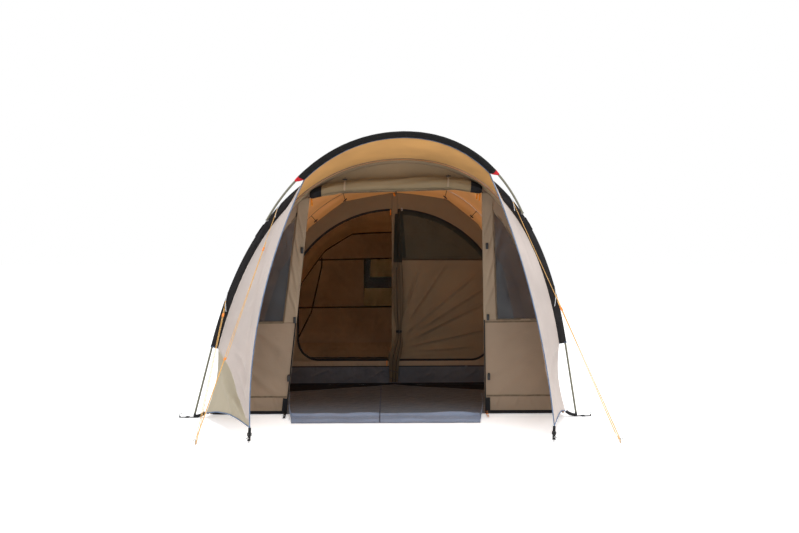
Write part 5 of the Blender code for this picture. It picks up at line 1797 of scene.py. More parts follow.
@dataclass
class DoorRoll:
    """The door, rolled up under the hood: a coil of cloth with black ends, held by two ties with toggles.

    Attributes:
        half: half its length.
        radius, end_radius: its radius in the middle and at its ends.
        height: height of its axis.
        droop: how far its ends hang.
        spread: distance of the ties from the middle.
        layer: distance between two turns of the coil.
        start: turn at which the cloth's free edge lies.
        black: distance from the middle at which its black ends begin.
        axis: depth of its axis, just before the front wall.
    """

    half: float = 0.672
    radius: float = 0.050
    end_radius: float = 0.034
    height: float = 1.826
    droop: float = 0.064
    spread: float = 0.405
    layer: float = 0.0058
    start: float = -2.0
    black: float = 0.585
    axis: float = WALL_DEPTH - CLOTH / 2.0 - GAP - radius

    def waist(self, across: Array) -> Array:
        """Its radius along its length, drawn in at the ties and towards the ends.

        Args:
            across: distances from the tent's middle.

        Returns:
            The radii.
        """
        pinch = 0.006 * bell(np.abs(across), self.spread, 0.045)
        tip = clamp((np.abs(across) - self.half + 0.035) / 0.039)
        reach = self.radius - pinch - (self.radius - self.end_radius) * (np.abs(across) / self.half) ** 6
        return reach * (1.0 - 0.42 * tip ** 3)

    def rings(self, across: Array, turns: Array, grow: float = 0.0) -> Array:
        """Points of the coil at distances from the middle and turns from the free edge inwards.

        Args:
            across: distances from the tent's middle.
            turns: angles from the free edge inwards.
            grow: distance outside the cloth.

        Returns:
            Points of shape (across, turns, 3).
        """
        across = across[:, None]
        inward = (turns[None, :] - self.start) / (2.0 * math.pi) * self.layer
        reach = self.waist(across) * (1.0 - inward / self.radius)
        spot = xyz(across, 0.06 * np.cos(turns)[None, :], 0.06 * np.sin(turns)[None, :])
        slack = 1.0 - 0.8 * bell(np.abs(across), self.spread, 0.05)
        folds = 0.0034 * ripples(spot, 0.05, 83, (6.0, 1.0, 1.0)) * slack * reach / self.radius
        reach = reach + folds + grow
        centre = self.height - self.droop * (across / self.half) ** 4
        return pitched(xyz(across, self.axis + reach * np.cos(turns), centre + reach * np.sin(turns)))

    def build(self) -> None:
        """Makes the coil, its black ends and its ties."""
        across = np.linspace(-self.half, self.half, 101)
        inner = (self.radius - 0.010) / self.layer
        turns = self.start + np.linspace(0.0, 2.0 * math.pi * inner, int(32 * inner))
        coil = self.rings(across, turns).transpose(1, 0, 2)
        sheet("rolled_door", coil, ROLLED, "wall_cloth", ("door_roll",))
        ends, around = Body(), self.start + full_turn(48)
        for side in SIDES.values():
            cover = side * np.linspace(self.black, self.half + 0.004, 26)
            rings = self.rings(cover, around, grow=0.0016)
            axis = rings[-1].mean(axis=0)
            lip = np.stack([between(axis, rings[-1], share) for share in (0.82, 0.5, 0.12)])
            ends.grid(np.concatenate([rings, lip]), closed=True)
        ends.piece("roll_ends", BLACK_TAPE, "wall_cloth", wall=0.0010)
        for name, side in SIDES.items():
            self.tie(name, side)

    def tie(self, name: str, side: float) -> None:
        """A thin strap round the roll, knotted under a toggle on top.

        Args:
            name: name of its side.
            side: -1 for the left side and 1 for the right one.
        """
        turns = full_turn(72)
        across = side * (self.spread + 0.007 * np.array([-1.0, -0.92, 0.92, 1.0]))
        waist = self.waist(np.array([self.spread]))[0]
        outside = waist + np.array([0.0006, 0.0030, 0.0030, 0.0006])
        reach = outside[:, None]
        rings = xyz(across[:, None], self.axis + reach * np.cos(turns), self.height + reach * np.sin(turns))
        loop = pitched(band(rings, np.array([self.axis, self.height]), [1, 2], 0.985))
        Body().grid(loop, closed=True).piece("roll_strap_" + name, FACING, "webbing", ("roll_tie_" + name,))
        top = pitched(np.array([side * self.spread, self.axis - 0.018, self.height + waist]))
        toggle = Body().barrel(top + (0.0, -0.004, 0.0045), (1.0, 0.0, 0.0), 0.020, 0.0052)
        toggle.piece("roll_toggle_" + name, PLASTIC, "plastic")
        hook = pitched(np.array([side * self.spread, 0.0965, 1.895]))
        hang = np.vstack([top + (0.0, 0.0, 0.004), top + (0.0, 0.012, 0.020), hook])
        Body().tube(resampled(hang, 12), 0.0016, 8).piece("roll_cord_" + name, ELASTIC, "webbing")


# Ground
@dataclass
class Groundsheet:
    """The living bay's groundsheet: a little wrinkled, with a flap before the door; painted shade darkens it
    inside, painted light brightens the flap, and a black strip along the tub is a painted shadow.

    Attributes:
        half: half its width under the living bay.
        front, back: where it begins behind the wall and ends at the inner tent.
        flap_half, flap_spread, flap_front: half the flap's width, its growth towards the wall, where it ends.
        rest: height of its middle.
        ear_front, ear_back, ear_height: where the turned-up sides begin and end, and their height.
    """

    half: float = 1.38
    front: float = 0.090
    back: float = 1.3980
    flap_half: float = 0.715
    flap_spread: float = 0.040
    flap_front: float = -0.22
    rest: float = 0.0022
    ear_front: float = -0.20
    ear_back: float = 0.082
    ear_height: float = 0.165

    def heights(self, points: Array) -> Array:
        """Heights of the wrinkles, low enough to stay under what stands on the sheet."""
        wave = ripples(points, 0.22, 91, (1.0, 1.0, 1.0)) + 0.6 * ripples(points, 0.07, 92, (2.5, 0.8, 1.0))
        return self.rest + 0.0011 * np.clip(wave, -1.6, 2.4)

    def lifted(self, across: Array, along: Array) -> Array:
        """Points of the sheet on the ground.

        Args:
            across, along: flat coordinates.

        Returns:
            Points of shape (..., 3).
        """
        flat = xyz(across, along, 0.0)
        flat[..., 2] = self.heights(flat)
        return flat

    def build(self) -> None:
        """Makes the sheet, its flap, its seam and its hem."""
        across = np.linspace(-self.half, self.half, 181)[None, :]
        along = np.linspace(self.front, self.back, 91)[:, None]
        # The sheet's colour carries painted shade inside and painted light near the door.
        sheet("groundsheet_cloth", self.lifted(across, along), GROUND_SHEET, "groundsheet",
              ("groundsheet",), wall=THIN)
        along = np.linspace(self.flap_front, self.front, 61)[:, None]
        reach = self.flap_half + self.flap_spread * (along - self.flap_front) / (self.front - self.flap_front)
        across = reach * np.linspace(-1.0, 1.0, 181)
        flap = self.lifted(across, along)
        crest = bell(along, 0.05, 0.024) * 0.017 + 0.006 * bell(along, -0.12, 0.03)
        crest = crest * (1.0 + 0.3 * ripples(flap, 0.3, 95)) * clamp((self.front - along) * 60.0)
        flap[..., 2] += clamp(crest)
        # The flap's lighter colour is painted light.
        sheet("groundsheet_flap", flap, LIT_FLAP_CLOTH, "groundsheet", wall=THIN)
        self.tub_shadow()
        self.ears()
        body = Body()
        seam = flap[1:-1, 84]
        further = self.lifted(seam[-1, 0], np.linspace(self.front, self.back - 0.01, 60))
        for path, width in ((seam, 0.012), (flap[1], 0.016), (further, 0.012)):
            body.ribbon(path + (0.0, 0.0, 0.0002), UPWARD, width, 0.0010)
        body.piece("groundsheet_seams", GROUND_TAPE, "groundsheet")

    def tub_shadow(self) -> None:
        """Painted shadow: a black strip on the sheet along the tub, whose front edge runs in two shallow
        curves, stands in for the shade under the tub's front.
        """
        across = np.linspace(-1.25, 1.25, 241)
        wide = np.where(across < 0.085, 0.36 * np.abs(across - 0.085) ** 0.9,
                        0.29 * (np.abs(across - 0.085) / 0.85) ** 0.7)
        along = self.back - 0.006 - (0.004 + wide)[None, :] * np.linspace(1.0, 0.0, 25)[:, None]
        grid = self.lifted(across[None, :], along)
        grid[..., 2] += 0.0011
        sheet("groundsheet_painted_shadow", grid, TUB_SHADOW_CLOTH, "groundsheet",
              wall=FILM_WALL)

    def ears(self) -> None:
        """The flap's sides, turned up beside the doorway: strips that grow to a hand's height."""
        share = ramp(41)[:, None]
        along = between(self.ear_front, self.ear_back, share)
        up = ramp(13)[None, :] * self.ear_height * share ** 1.6
        for name, side in SIDES.items():
            across = side * (self.flap_half + self.flap_spread * 0.9 * share
                             + 0.014 * bump(up / self.ear_height) + 0.05 * up)
            grid = xyz(across + 0.0 * up, along, self.rest + 0.004 + up)
            # The ears share the flap's painted light.
            sheet("groundsheet_ear_" + name, grid, LIT_FLAP_CLOTH, "groundsheet",
                  wall=THIN)


# Inner tent
@dataclass
class InnerTent:
    """The sleeping cabin: front wall with two doorways, cabin, rear wall with curtained window, tub floor.

    Attributes:
        front, rear: where its end walls stand.
        inset: distance of its cloth inside the arches.
        corners: distances from the middle of the places where it hangs.
        taut: how straight its cloth runs between them.
        slump: how much lower the front's middle hangs.
        tub: height of the tub's rim.
        middle, strip: place and half width of the strip between the doorways.
        arc_radius, arc_centre: the doorways' arc.
        half, sill, corner: half width of both doorways, height of their sill, radius of their corners.
        mesh_sill: where the netting begins.
        counts: points of the doorways' outlines along the sill, round the corner and over the rest.
    """

    front: float = INNER_FRONT
    rear: float = 3.24
    inset: float = 0.10
    corners: tuple = (0.50, 0.82, 1.085)
    taut: float = 0.85
    slump: float = 0.030
    tub: float = 0.18
    middle: float = 0.080
    strip: float = 0.028
    arc_radius: float = 1.107
    arc_centre: float = 0.593
    half: float = 0.940
    sill: float = 0.240
    corner: float = 0.20
    mesh_sill: float = 1.22
    counts: tuple = (40, 14, 150)

    def line(self, depth: float, count: int) -> Array:
        """A cross-section: nearly straight between its corners, and at the front up to a middle one too.

        Args:
            depth: distance into the tent.
            count: number of points.

        Returns:
            Points of shape (count, 3), from left to right.
        """
        smooth = section(depth, self.inset, self.tub + SEAM_GAP, count)
        marks = np.array(self.corners)
        stops = np.searchsorted(smooth[:, 0], np.concatenate([-marks[::-1], marks]))
        peak = math.exp((self.front - depth) / 0.25)
        index = np.arange(count)
        chords = np.zeros(smooth.shape)
        for share, middle in ((1.0 - peak, []), (peak, [count // 2])):
            knots = np.sort(np.array([0, count - 1, *stops, *middle]))
            chord = [np.interp(index, knots, smooth[knots, axis]) for axis in range(3)]
            chords += share * np.column_stack(chord)
        line = smooth + self.taut * (chords - smooth)
        line[:, 2] -= self.slump * peak * clamp(1.0 - np.abs(line[:, 0]) / marks[0])
        return line

    def outline(self, depth: float) -> Array:
        """The cross-section (x, z) from its left foot to its right one, pitched."""
        return pitched(self.line(depth, 801))[:, [0, 2]]

    def arc(self, across: Array | float) -> Array:
        """Height of the doorways' arc at a distance from the strip's middle."""
        return self.arc_centre + np.sqrt(self.arc_radius ** 2 - np.asarray(across) ** 2)

    def hole(self, side: float) -> Array:
        """A doorway's outline (x, z): along the sill, round the corner, up and along the arc to the strip.

        Args:
            side: -1 for the left side and 1 for the right one.

        Returns:
            Points of shape (n, 2).
        """
        sill = np.column_stack([np.linspace(self.strip, self.half - self.corner, self.counts[0]),
                                np.full(self.counts[0], self.sill)])
        turns = np.linspace(-math.pi / 2.0, 0.0, self.counts[1] + 1)[1:]
        bend = np.column_stack([self.half - self.corner * (1.0 - np.cos(turns)),
                                self.sill + self.corner * (1.0 + np.sin(turns))])
        across = self.half * np.cos(ramp(200) * (math.pi / 2.0 - self.strip / self.half))
        across = np.append(across, self.strip)
        rest = np.vstack([bend[-1], np.column_stack([across, self.arc(across)])])
        outline = np.vstack([sill, bend, resampled(rest, self.counts[2] + 1)[1:]])
        outline[:, 0] = self.middle + side * outline[:, 0]
        return outline

    def rim(self, side: float) -> Array:
        """The front wall's outer outline (x, z), with a point for each of the doorway's.

        Args:
            side: -1 for the left side and 1 for the right one.

        Returns:
            Points of shape (n, 2).
        """
        line = self.line(self.front, 801)[:, [0, 2]]
        line = line[line[:, 0] * side >= 0.0]
        line = line if side < 0.0 else line[::-1]
        foot, straight = line[0], pitched_flat(line)
        start = np.array([self.middle + side * self.strip, 0.0])
        under = np.linspace(start[0], self.middle + side * (self.half - self.corner), self.counts[0])
        floor = pitched_flat(np.column_stack([[0.0, foot[0]], [foot[1], foot[1]]]))
        low = np.column_stack([under, np.interp(under * side, floor[:, 0] * side, floor[:, 1])])
        split = int(np.argmax(line[:, 1] > self.sill + self.corner))
        bend = resampled(np.vstack([low[-1], straight[:split + 1]]), self.counts[1] + 1)[1:]
        top = straight[split:]
        top = top[(top[:, 0] - start[0]) * side > 0.0]
        apex = np.array([start[0], np.interp(start[0], *self.outline(self.front).T)])
        rest = resampled(np.vstack([bend[-1], top, apex]), self.counts[2] + 1)[1:]
        return np.vstack([low, bend, rest])

    def upright(self, outline: Array, depth: float) -> Array:
        """Puts (x, z) points at a depth."""
        return xyz(outline[..., 0], depth, outline[..., 1])

    def build(self) -> None:
        """Makes the whole inner tent."""
        self.front_wall()
        self.right_door()
        self.netting()
        self.cabin()
        self.rear_wall()
        self.floor()
        self.hangers()

    def front_wall(self) -> None:
        """The front wall round both doorways, its strip, its brown threshold and the zips' tapes."""
        zips = Body()
        for name, side in SIDES.items():
            grid = ruled(self.upright(self.hole(side), self.front), self.upright(self.rim(side), self.front),
                         29)
            share = ramp(29)[:, None]
            radial = np.arctan2(grid[..., 2] - 0.6, (grid[..., 0] - self.middle) * side)
            pulls = 0.0045 * np.cos(radial * 17.0
                                    + 0.6 * ripples(grid, 0.5, 101)) + 0.003 * ripples(grid, 0.14, 103)
            grid[..., 1] -= pulls * bump(share) * clamp((grid[..., 2] - 0.20) * 8.0)
            sheet("inner_front_" + name, grid, INNER, "inner_cloth",
                  ("inner_front_wall",) if side > 0.0 else ())
            path = self.upright(self.hole(side), self.front - 0.0012)
            path[:, 0] += (self.middle + side * 0.45 - path[:, 0]) * 0.004
            zips.ribbon(path, FORWARD, 0.020, 0.0014)
            zips.tube(path + (0.0, -0.0022, 0.0), 0.0030, 8)
        zips.piece("inner_zips", BLACK_TAPE, "webbing")
        across = self.middle + np.linspace(-self.strip, self.strip, 7)
        top = np.interp(across, *self.outline(self.front).T)
        up = (self.tub + SEAM_GAP) + (top - self.tub - SEAM_GAP) * ramp(90)[:, None]
        sheet("inner_strip", xyz(across, self.front, up), INNER, "inner_cloth")
        across = np.linspace(-1.0, 1.0, 221)[None, :]
        foot = section(self.front, self.inset, self.tub + SEAM_GAP, 801)[-1, 0]
        up = np.linspace(self.tub + 0.001, self.sill - 0.012, 11)[:, None]
        grid = pitched(xyz(across * (foot - 0.012), self.front - 0.0032, up))
        grid[..., 1] -= 0.0022 * (1.0 + ripples(grid, 0.05, 107, (0.5, 1.0, 3.0))) * bump(ramp(11))[:, None]
        sheet("inner_threshold", grid, THRESHOLD, "inner_cloth")

    def door_side(self, up: Array) -> Array:
        """Distance of the doorway's outer edge from the strip's middle at a height under the arc."""
        bend = self.corner - np.sqrt(np.maximum(0.0, self.corner ** 2 - (self.sill + self.corner - up) ** 2))
        return self.half - np.where(up < self.sill + self.corner, bend, 0.0)

    def right_door(self) -> None:
        """The closed right door: brown cloth with folds that fan out from its lower inner corner."""
        up = np.concatenate([np.linspace(self.sill + 0.0008, self.sill + self.corner, 30),
                             np.linspace(self.sill + self.corner, self.mesh_sill - GAP, 110)[1:]])[:, None]
        span = ramp(131)[None, :]
        near, far = self.strip + GAP, self.door_side(up) - SEAM_GAP
        across = between(near, far, span)
        climb = (up - self.sill) / (self.mesh_sill - self.sill)
        fan = np.arctan2(up - self.sill, across - near + GAP) / (math.pi / 2.0)
        inside = np.minimum(1.0, 3.0 * np.sin(math.pi * span) * np.sin(math.pi * climb))
        wide = 0.016 * np.cos(6.0 * math.pi * fan)
        fine = 0.012 * np.cos(26.0 * fan + 3.0 * across) * clamp(across * 2.0)
        pulls = [(0.06, 0.40, 0.90, 0.80, 0.020, 0.014), (0.06, 0.46, 0.84, 1.12, 0.020, 0.015),
                 (0.08, 0.36, 0.90, 0.54, 0.018, 0.013), (0.06, 0.52, 0.52, 1.20, 0.016, 0.014),
                 (0.10, 0.32, 0.88, 0.38, 0.014, 0.012), (0.06, 0.58, 0.26, 1.20, 0.014, 0.012),
                 (0.06, 0.43, 0.90, 0.96, 0.016, 0.014)]
        folds = (wide + fine - creases(across, np.broadcast_to(up, across.shape), pulls)) * inside
        grid = xyz(self.middle + across, self.front + folds, up)
        sheet("inner_door_cloth", grid, INNER, "inner_cloth", ("inner_door_right",))
        seam = Body().ribbon(grid[-1] + (0.0, -0.0010, -0.004), FORWARD, 0.014, 0.0016)
        seam.piece("inner_door_seam", BROWN_SEAM, "inner_cloth")

    def netting(self) -> None:
        """The netting over the right door's cloth."""
        across = np.linspace(self.strip + GAP, self.half - GAP, 71)[None, :]
        top = self.arc(across) - SEAM_GAP
        up = self.mesh_sill + GAP + (top - self.mesh_sill - GAP) * ramp(41)[:, None]
        wave = 0.003 * ripples(xyz(across, 0.0, up), 0.22, 111, (1.0, 1.0, 2.0))
        wave = wave * bump(ramp(41))[:, None] * bump(ramp(71))[None, :]
        grid = xyz(self.middle + across, self.front + wave, up)
        sheet("inner_door_mesh", grid, MESH, "mesh", ("inner_door_netting",), wall=FILM_WALL)
        reach = np.linspace(0.06, 0.985, 120) * self.half
        under = xyz(self.middle + reach * 0.985, self.front - 0.0050, self.arc(reach) - 0.026)
        drop = ramp(60)
        beside = xyz(self.middle + 0.066 + 0.030 * drop, self.front - 0.0056, 1.655 - 0.42 * drop)
        bands = Body().ribbon(under, FORWARD, 0.034, 0.0012)
        bands.ribbon(beside, FORWARD, 0.030, 0.0012).piece("inner_mesh_bands", MESH_BAND, "mesh")

    def cabin(self) -> None:
        """The cabin's cloth: cross-sections inside the arches, with hanging folds."""
        depths = np.linspace(self.front + 0.0023, self.rear - 0.0023, 61)
        grid = pitched(np.stack([self.line(depth, 201) for depth in depths]))
        share = ramp(61)[:, None]
        folds = 0.008 * ripples(grid, 0.32, 121, (1.0, 1.8, 1.0))
        folds = folds + 0.003 * ripples(grid, 0.09, 123, (1.0, 4.0, 1.0))
        grid = raised(grid, folds * bump(share) ** 0.5 * clamp((grid[..., 2] - self.tub) * 6.0))
        # The cabin's cloth is a lighter copy of the front's, as painted light.
        sheet("inner_cabin_cloth", grid, LIT_CABIN_CLOTH, "inner_cloth", ("inner_cabin",))

    def rear_wall(self) -> None:
        """The rear wall round its netting window, two seams across it, and the curtains half open."""
        outline = self.outline(self.rear)
        foot = outline[[-1, 0]]
        floor = resampled(foot, 61)[1:-1]
        outline = np.vstack([outline, floor])
        centre = pitched(np.array([0.0, 0.0, 0.915]))[[0, 2]]
        turns = np.linspace(-math.pi, math.pi, 321)[:-1]
        spokes = outline - centre
        angle = np.arctan2(spokes[:, 1], spokes[:, 0])
        order = np.argsort(angle)
        reach = np.interp(turns, angle[order], np.linalg.norm(spokes, axis=1)[order], period=2.0 * math.pi)
        near = np.minimum(0.32 / np.maximum(np.abs(np.cos(turns)), 1e-6),
                          0.295 / np.maximum(np.abs(np.sin(turns)), 1e-6))
        ray = np.column_stack([np.cos(turns), np.sin(turns)])
        grid = ruled(self.upright(centre + ray * near[:, None], self.rear),
                     self.upright(centre + ray * reach[:, None], self.rear), 31)
        share = ramp(31)[:, None]
        slack = 0.006 * ripples(grid, 0.3, 131, (1.0, 1.0, 3.0)) + 0.004 * ripples(grid, 0.1, 133)
        grid[..., 1] -= slack * bump(share)
        # The rear wall's cloth is a lighter copy of the front's, as painted light.
        sheet("inner_rear_cloth", grid, REAR, "inner_cloth", ("inner_rear_wall",),
              closed=True)
        pane = np.stack(np.meshgrid(np.linspace(-0.325, 0.325, 21), np.linspace(0.615, 1.215, 21)), axis=-1)
        pane = pitched(xyz(pane[..., 0], self.rear + 0.003, pane[..., 1]))
        sheet("inner_rear_mesh", pane, MESH, "mesh", ("inner_rear_window",), wall=FILM_WALL)
        for name, edge, low, high in (("upper", -0.25, 0.985, 1.205), ("lower", -0.31, 0.63, 0.85)):
            across, up = np.meshgrid(np.linspace(edge, 0.31, 71), np.linspace(low, high, 31))
            waves = 0.006 * np.cos(across * 62.0) + 0.003 * ripples(xyz(across, up, up), 0.08, 137)
            drape = pitched(xyz(across, self.rear - 0.014 - waves, up))
            sheet("rear_curtain_" + name, drape, CURTAIN, "inner_cloth")
        seams = Body()
        for height in (0.62, 1.21):
            width = float(width_at(section(self.rear, self.inset, self.tub, 201), height)) - 0.01
            path = xyz(np.linspace(-width, width, 61), self.rear - 0.012, height)
            seams.ribbon(pitched(path), FORWARD, 0.016, 0.0016)
        for side in SIDES.values():
            corner = np.array([(side * 0.846, self.rear - 0.012, 1.24),
                               (side * 0.842, self.rear - 0.012, 1.13),
                               (side * 0.945, self.rear - 0.012, 0.56),
                               (side * 1.128, self.rear - 0.012, 0.16)])
            seams.ribbon(pitched(resampled(corner, 60)), FORWARD, 0.016, 0.0016)
        edge = self.outline(self.rear)
        edge = resampled(between(edge, np.array([0.0, 0.8]), 0.006), 200)
        seams.ribbon(self.upright(edge, self.rear - 0.006), FORWARD, 0.016, 0.0020)
        seams.piece("inner_rear_seams", BROWN_SEAM, "inner_cloth")

    def floor(self) -> None:
        """The tub floor, a tray of dark coated cloth with creased upright sides."""
        depths = (self.front - CLOTH / 2.0, self.rear + CLOTH / 2.0)
        rim = np.array([1.0, 0.75, 0.5, 0.25])
        widths, ends = [], []
        for depth in depths:
            arch, sag = arch_at(depth)
            low, high = [arch.leg(self.inset + sag - CLOTH / 2.0, up)[0] for up in (0.0, self.tub)]
            left = np.column_stack([-between(low, high, rim), rim * self.tub])
            flat = np.column_stack([np.linspace(-low, low, 121), np.zeros(121)])
            ends.append(self.upright(np.vstack([left, flat, left[::-1] * (-1.0, 1.0)]), depth))
            widths.append((low, high))
        grid = ruled(*ends, 81)
        fine = np.abs(ripples(grid, 0.16, 141)) * 0.0022 + np.abs(ripples(grid, 0.05, 143)) * 0.0010
        flat = grid[..., 2] < 0.001
        grid[..., 2] += np.where(flat, 0.0016 + fine, 0.0)
        grid = pitched(grid)
        sheet("tub_floor", grid, FLOOR_SHEET, "tub", ("inner_tub",))
        for name, depth, sign, (low, high) in zip(("front", "rear"), depths, (-1.0, 1.0), widths):
            up = np.linspace(0.001, self.tub, 29)[:, None]
            wide = low + (high - low) * up / self.tub
            face = xyz(wide * np.linspace(-1.0, 1.0, 281)[None, :], depth, up)
            pulls = [(start, 0.01, start + reach, 0.175, 0.013, 0.010) for start, reach in (
                (-1.10, 0.30), (-0.86, 0.34), (-0.66, 0.22), (-0.46, 0.30), (-0.24, 0.26), (0.06, -0.14),
                (0.24, 0.24), (0.44, 0.30), (0.70, 0.22), (0.86, 0.26))]
            lift = creases(face[..., 0], face[..., 2], pulls)
            lift = lift + 0.005 * ripples(face, 0.09, 147, (1.0, 1.0, 2.0))
            rise = ramp(29)[:, None]
            face[..., 1] += sign * np.abs(lift) * clamp(rise * 1.2) * bump(rise * 0.85 + 0.05)
            sheet("tub_wall_" + name, pitched(face), FLOOR_SHEET if sign < 0.0 else INNER, "tub")
        seam = Body()
        reach = widths[0][1] - 0.01
        path = pitched(xyz(np.linspace(-reach, reach, 160), depths[0] - 0.0016, self.tub - 0.003))
        seam.ribbon(path, FORWARD, 0.010, 0.0022)
        path = path - (0.0, 0.0, 0.168)
        seam.ribbon(path, FORWARD, 0.012, 0.0022)
        seam.piece("tub_tape", BLACK_TAPE, "tub")

    def hangers(self) -> None:
        """Elastics with toggles that hang the inner tent from the middle and rear arches, and orange tabs."""
        elastics, toggles = Body(), Body()
        places = (self.front, MIDDLE_ARCH, (0.0, 0.27, 0.47, 0.76)), (self.rear, REAR_ARCH, (0.27, 0.5, 0.78))
        for depth, arch, steps in places:
            inner = pitched(self.line(depth, 801))
            for side in SIDES.values():
                for step in steps if side > 0.0 else [value for value in steps if value]:
                    hung = arch.bow(SLEEVE_DEPTH + 0.004, np.array([step]))[0]
                    top = np.array([side * hung[0], arch.depth - math.copysign(0.012, arch.depth - depth),
                                    hung[1]])
                    self.hanger(elastics, toggles, inner, pitched(top), side)
        elastics.piece("inner_elastics", ELASTIC, "webbing")
        toggles.piece("inner_toggles", PLASTIC, "plastic")
        top = pitched(self.line(self.front, 801))[400] + (-0.012, -0.0050, -0.004)
        hang = top + ramp(8)[:, None] * np.array([0.010, -0.004, -0.034])
        Body().ribbon(hang, FORWARD, 0.018, 0.0018).piece("inner_tab", ORANGE_TAPE, "webbing")

    def hanger(self, elastics: Body, toggles: Body, inner: Array, top: Array, side: float) -> None:
        """An elastic from a place under a sleeve to the nearest corner of the cabin, with its toggle.

        Args:
            elastics, toggles: bodies that take its two parts.
            inner: the cabin's section.
            top: its place under the sleeve.
            side: -1 for the left side and 1 for the right one.
        """
        low = inner[int(((inner - top)[:, [0, 2]] ** 2).sum(axis=1).argmin())]
        along = unit(top - low)
        elastics.tube(low + along * np.linspace(0.0, np.linalg.norm(top - low), 14)[:, None], 0.0028, 8)
        toggles.barrel(low + along * 0.020 + (0.0, -0.008, 0.0), (0.8 * side, 0.0, -0.7), 0.021, 0.0062)


def pitched_flat(outline: Array) -> Array:
    """Pitches (x, z) points."""
    return pitched(xyz(outline[:, 0], 0.0, outline[:, 1]))[:, [0, 2]]


@dataclass
class GatheredDoor:
    """The left inner door, gathered at the strip: netting on top, a tie at knee height, a flare and a tail.

    Attributes:
        profile: height and half width of the bundle.
        place: distance of its middle from the frame's.
        swerve: how far it turns to the left under the tie.
        flatness: its thickness as a share of its width.
        tie: height of its tie.
        pleats: number of its pleats.
        zips: columns of its rings along which both halves of its zip run.
    """

    profile: tuple = ((1.66, 0.016), (1.45, 0.030), (1.19, 0.044), (0.95, 0.054), (0.70, 0.046),
                      (0.545, 0.026),
                      (0.495, 0.026), (0.40, 0.048), (0.28, 0.064), (0.22, 0.048), (0.03, 0.040))
    place: float = 0.100
    swerve: float = 0.030
    flatness: float = 0.65
    tie: float = 0.520
    pleats: int = 13
    zips: tuple = (110, 129)

    def middle(self, radius: Array | float, air: float) -> Array | float:
        """Depth of its middle where it has this radius, with some air behind it."""
        return INNER_FRONT - CLOTH / 2.0 - air - 3.0 * GAP - self.flatness * radius

    def rings(self, heights: Array, count: int = 156) -> Array:
        """Rings of the bundle: ovals with deep pleats that twist slowly on their way down.

        Args:
            heights: heights of the rings.
            count: points round each.

        Returns:
            Points of shape (heights, count, 3).
        """
        table = np.array(self.profile)
        radius = np.interp(-heights, -table[:, 0], table[:, 1])
        kernel = np.ones(7) / 7.0
        radius = np.convolve(np.pad(radius, 3, mode="edge"), kernel, mode="valid")[:, None]
        turns = full_turn(count)[None, :]
        drift = 0.5 * np.sin(heights * 3.1)[:, None] + 0.22 * np.sin(heights * 11.0)[:, None]
        wave = 0.5 + 0.5 * np.cos(self.pleats * turns + drift
                                  + 0.8 * np.sin(2.0 * turns + 4.0 * heights[:, None]))
        depth = 0.30 + 0.10 * np.sin(3.0 * turns + heights[:, None] * 5.0)
        reach = radius * (1.0 - depth * wave)
        across = self.place + reach * np.cos(turns)
        along = self.middle(radius, 0.002) + self.flatness * reach * np.sin(turns)
        lower = clamp((0.46 - heights) / 0.22)[:, None]
        sway = 0.006 * np.sin(heights * 4.0)[:, None] - self.swerve * lower ** 2 * (3.0 - 2.0 * lower)
        sway = sway + 0.016 * clamp((1.62 - heights) / 0.35)[:, None] * (1.0 - lower)
        return xyz(across + sway, along, heights[:, None])

    def build(self) -> None:
        """Makes the bundle's netting and cloth, its piping and its tie."""
        # Both parts of the bundle use darker copies of their cloths as painted shade.
        parts = (("gathered_netting", np.linspace(1.66, 1.18, 70), SHADED_GATHERED_MESH, "mesh", (0.9, 0.5)),
                 ("gathered_cloth", np.linspace(1.19, 0.03, 150), SHADED_BUNDLE_CLOTH, "inner_cloth", (0.9, 1.2)))
        for number, (name, heights, finish, slot, flat) in enumerate(parts):
            grid = self.rings(heights)
            sheet(name, grid, finish, slot, ("inner_door_bundle",) if number else (), wall=THIN,
                  closed=True,
                  centre=grid.mean(axis=(0, 1)))
        outside = self.rings(np.linspace(1.19, 0.035, 190))
        body = Body()
        for column, start, radius in zip(self.zips, (8, 10), (0.0042, 0.0034)):
            body.tube(outside[start:, column] + (0.0, -0.002, 0.0), radius, 8)
        body.piece("gathered_zip", BLACK_TAPE, "webbing")
        turns = full_turn(56)
        radius = 0.0275
        back = self.middle(radius, 0.0015)
        middle = self.rings(np.array([self.tie]))[0].mean(axis=0)
        up = self.tie + 0.011 * np.array([-1.0, -0.9, 0.9, 1.0])
        wide = radius + np.array([0.0, 0.0016, 0.0016, 0.0])
        wide, up = wide[:, None], up[:, None]
        rings = xyz(middle[0] + wide * np.cos(turns), back + self.flatness * wide * np.sin(turns), up)
        loop = Body().grid(band(rings, np.array([middle[0], back]), [0, 1], 0.95), closed=True)
        loop.piece("gathered_tie", BLACK_TAPE, "webbing", ("inner_door_tie",))
        knot = np.array([middle[0] + 0.004, back - self.flatness * radius - 0.006, self.tie])
        toggle = Body().barrel(knot, (0.4, 0.0, 1.0), 0.018, 0.0050, belly=5.5)
        toggle.piece("gathered_toggle", PLASTIC, "plastic")
        down = ramp(90)
        heights = 0.185 - 0.150 * down
        around = self.rings(heights)
        middle, turns = around.mean(axis=1), 2.0 * math.pi * 2.0 * down + 0.6
        reach = np.linalg.norm(around - middle[:, None], axis=-1).max(axis=1) + 0.0016
        wound = middle + xyz(reach * np.cos(turns), self.flatness * reach * np.sin(turns), 0.0)
        Body().tube(wound, 0.0026, 8).piece("gathered_cord", ELASTIC, "webbing")


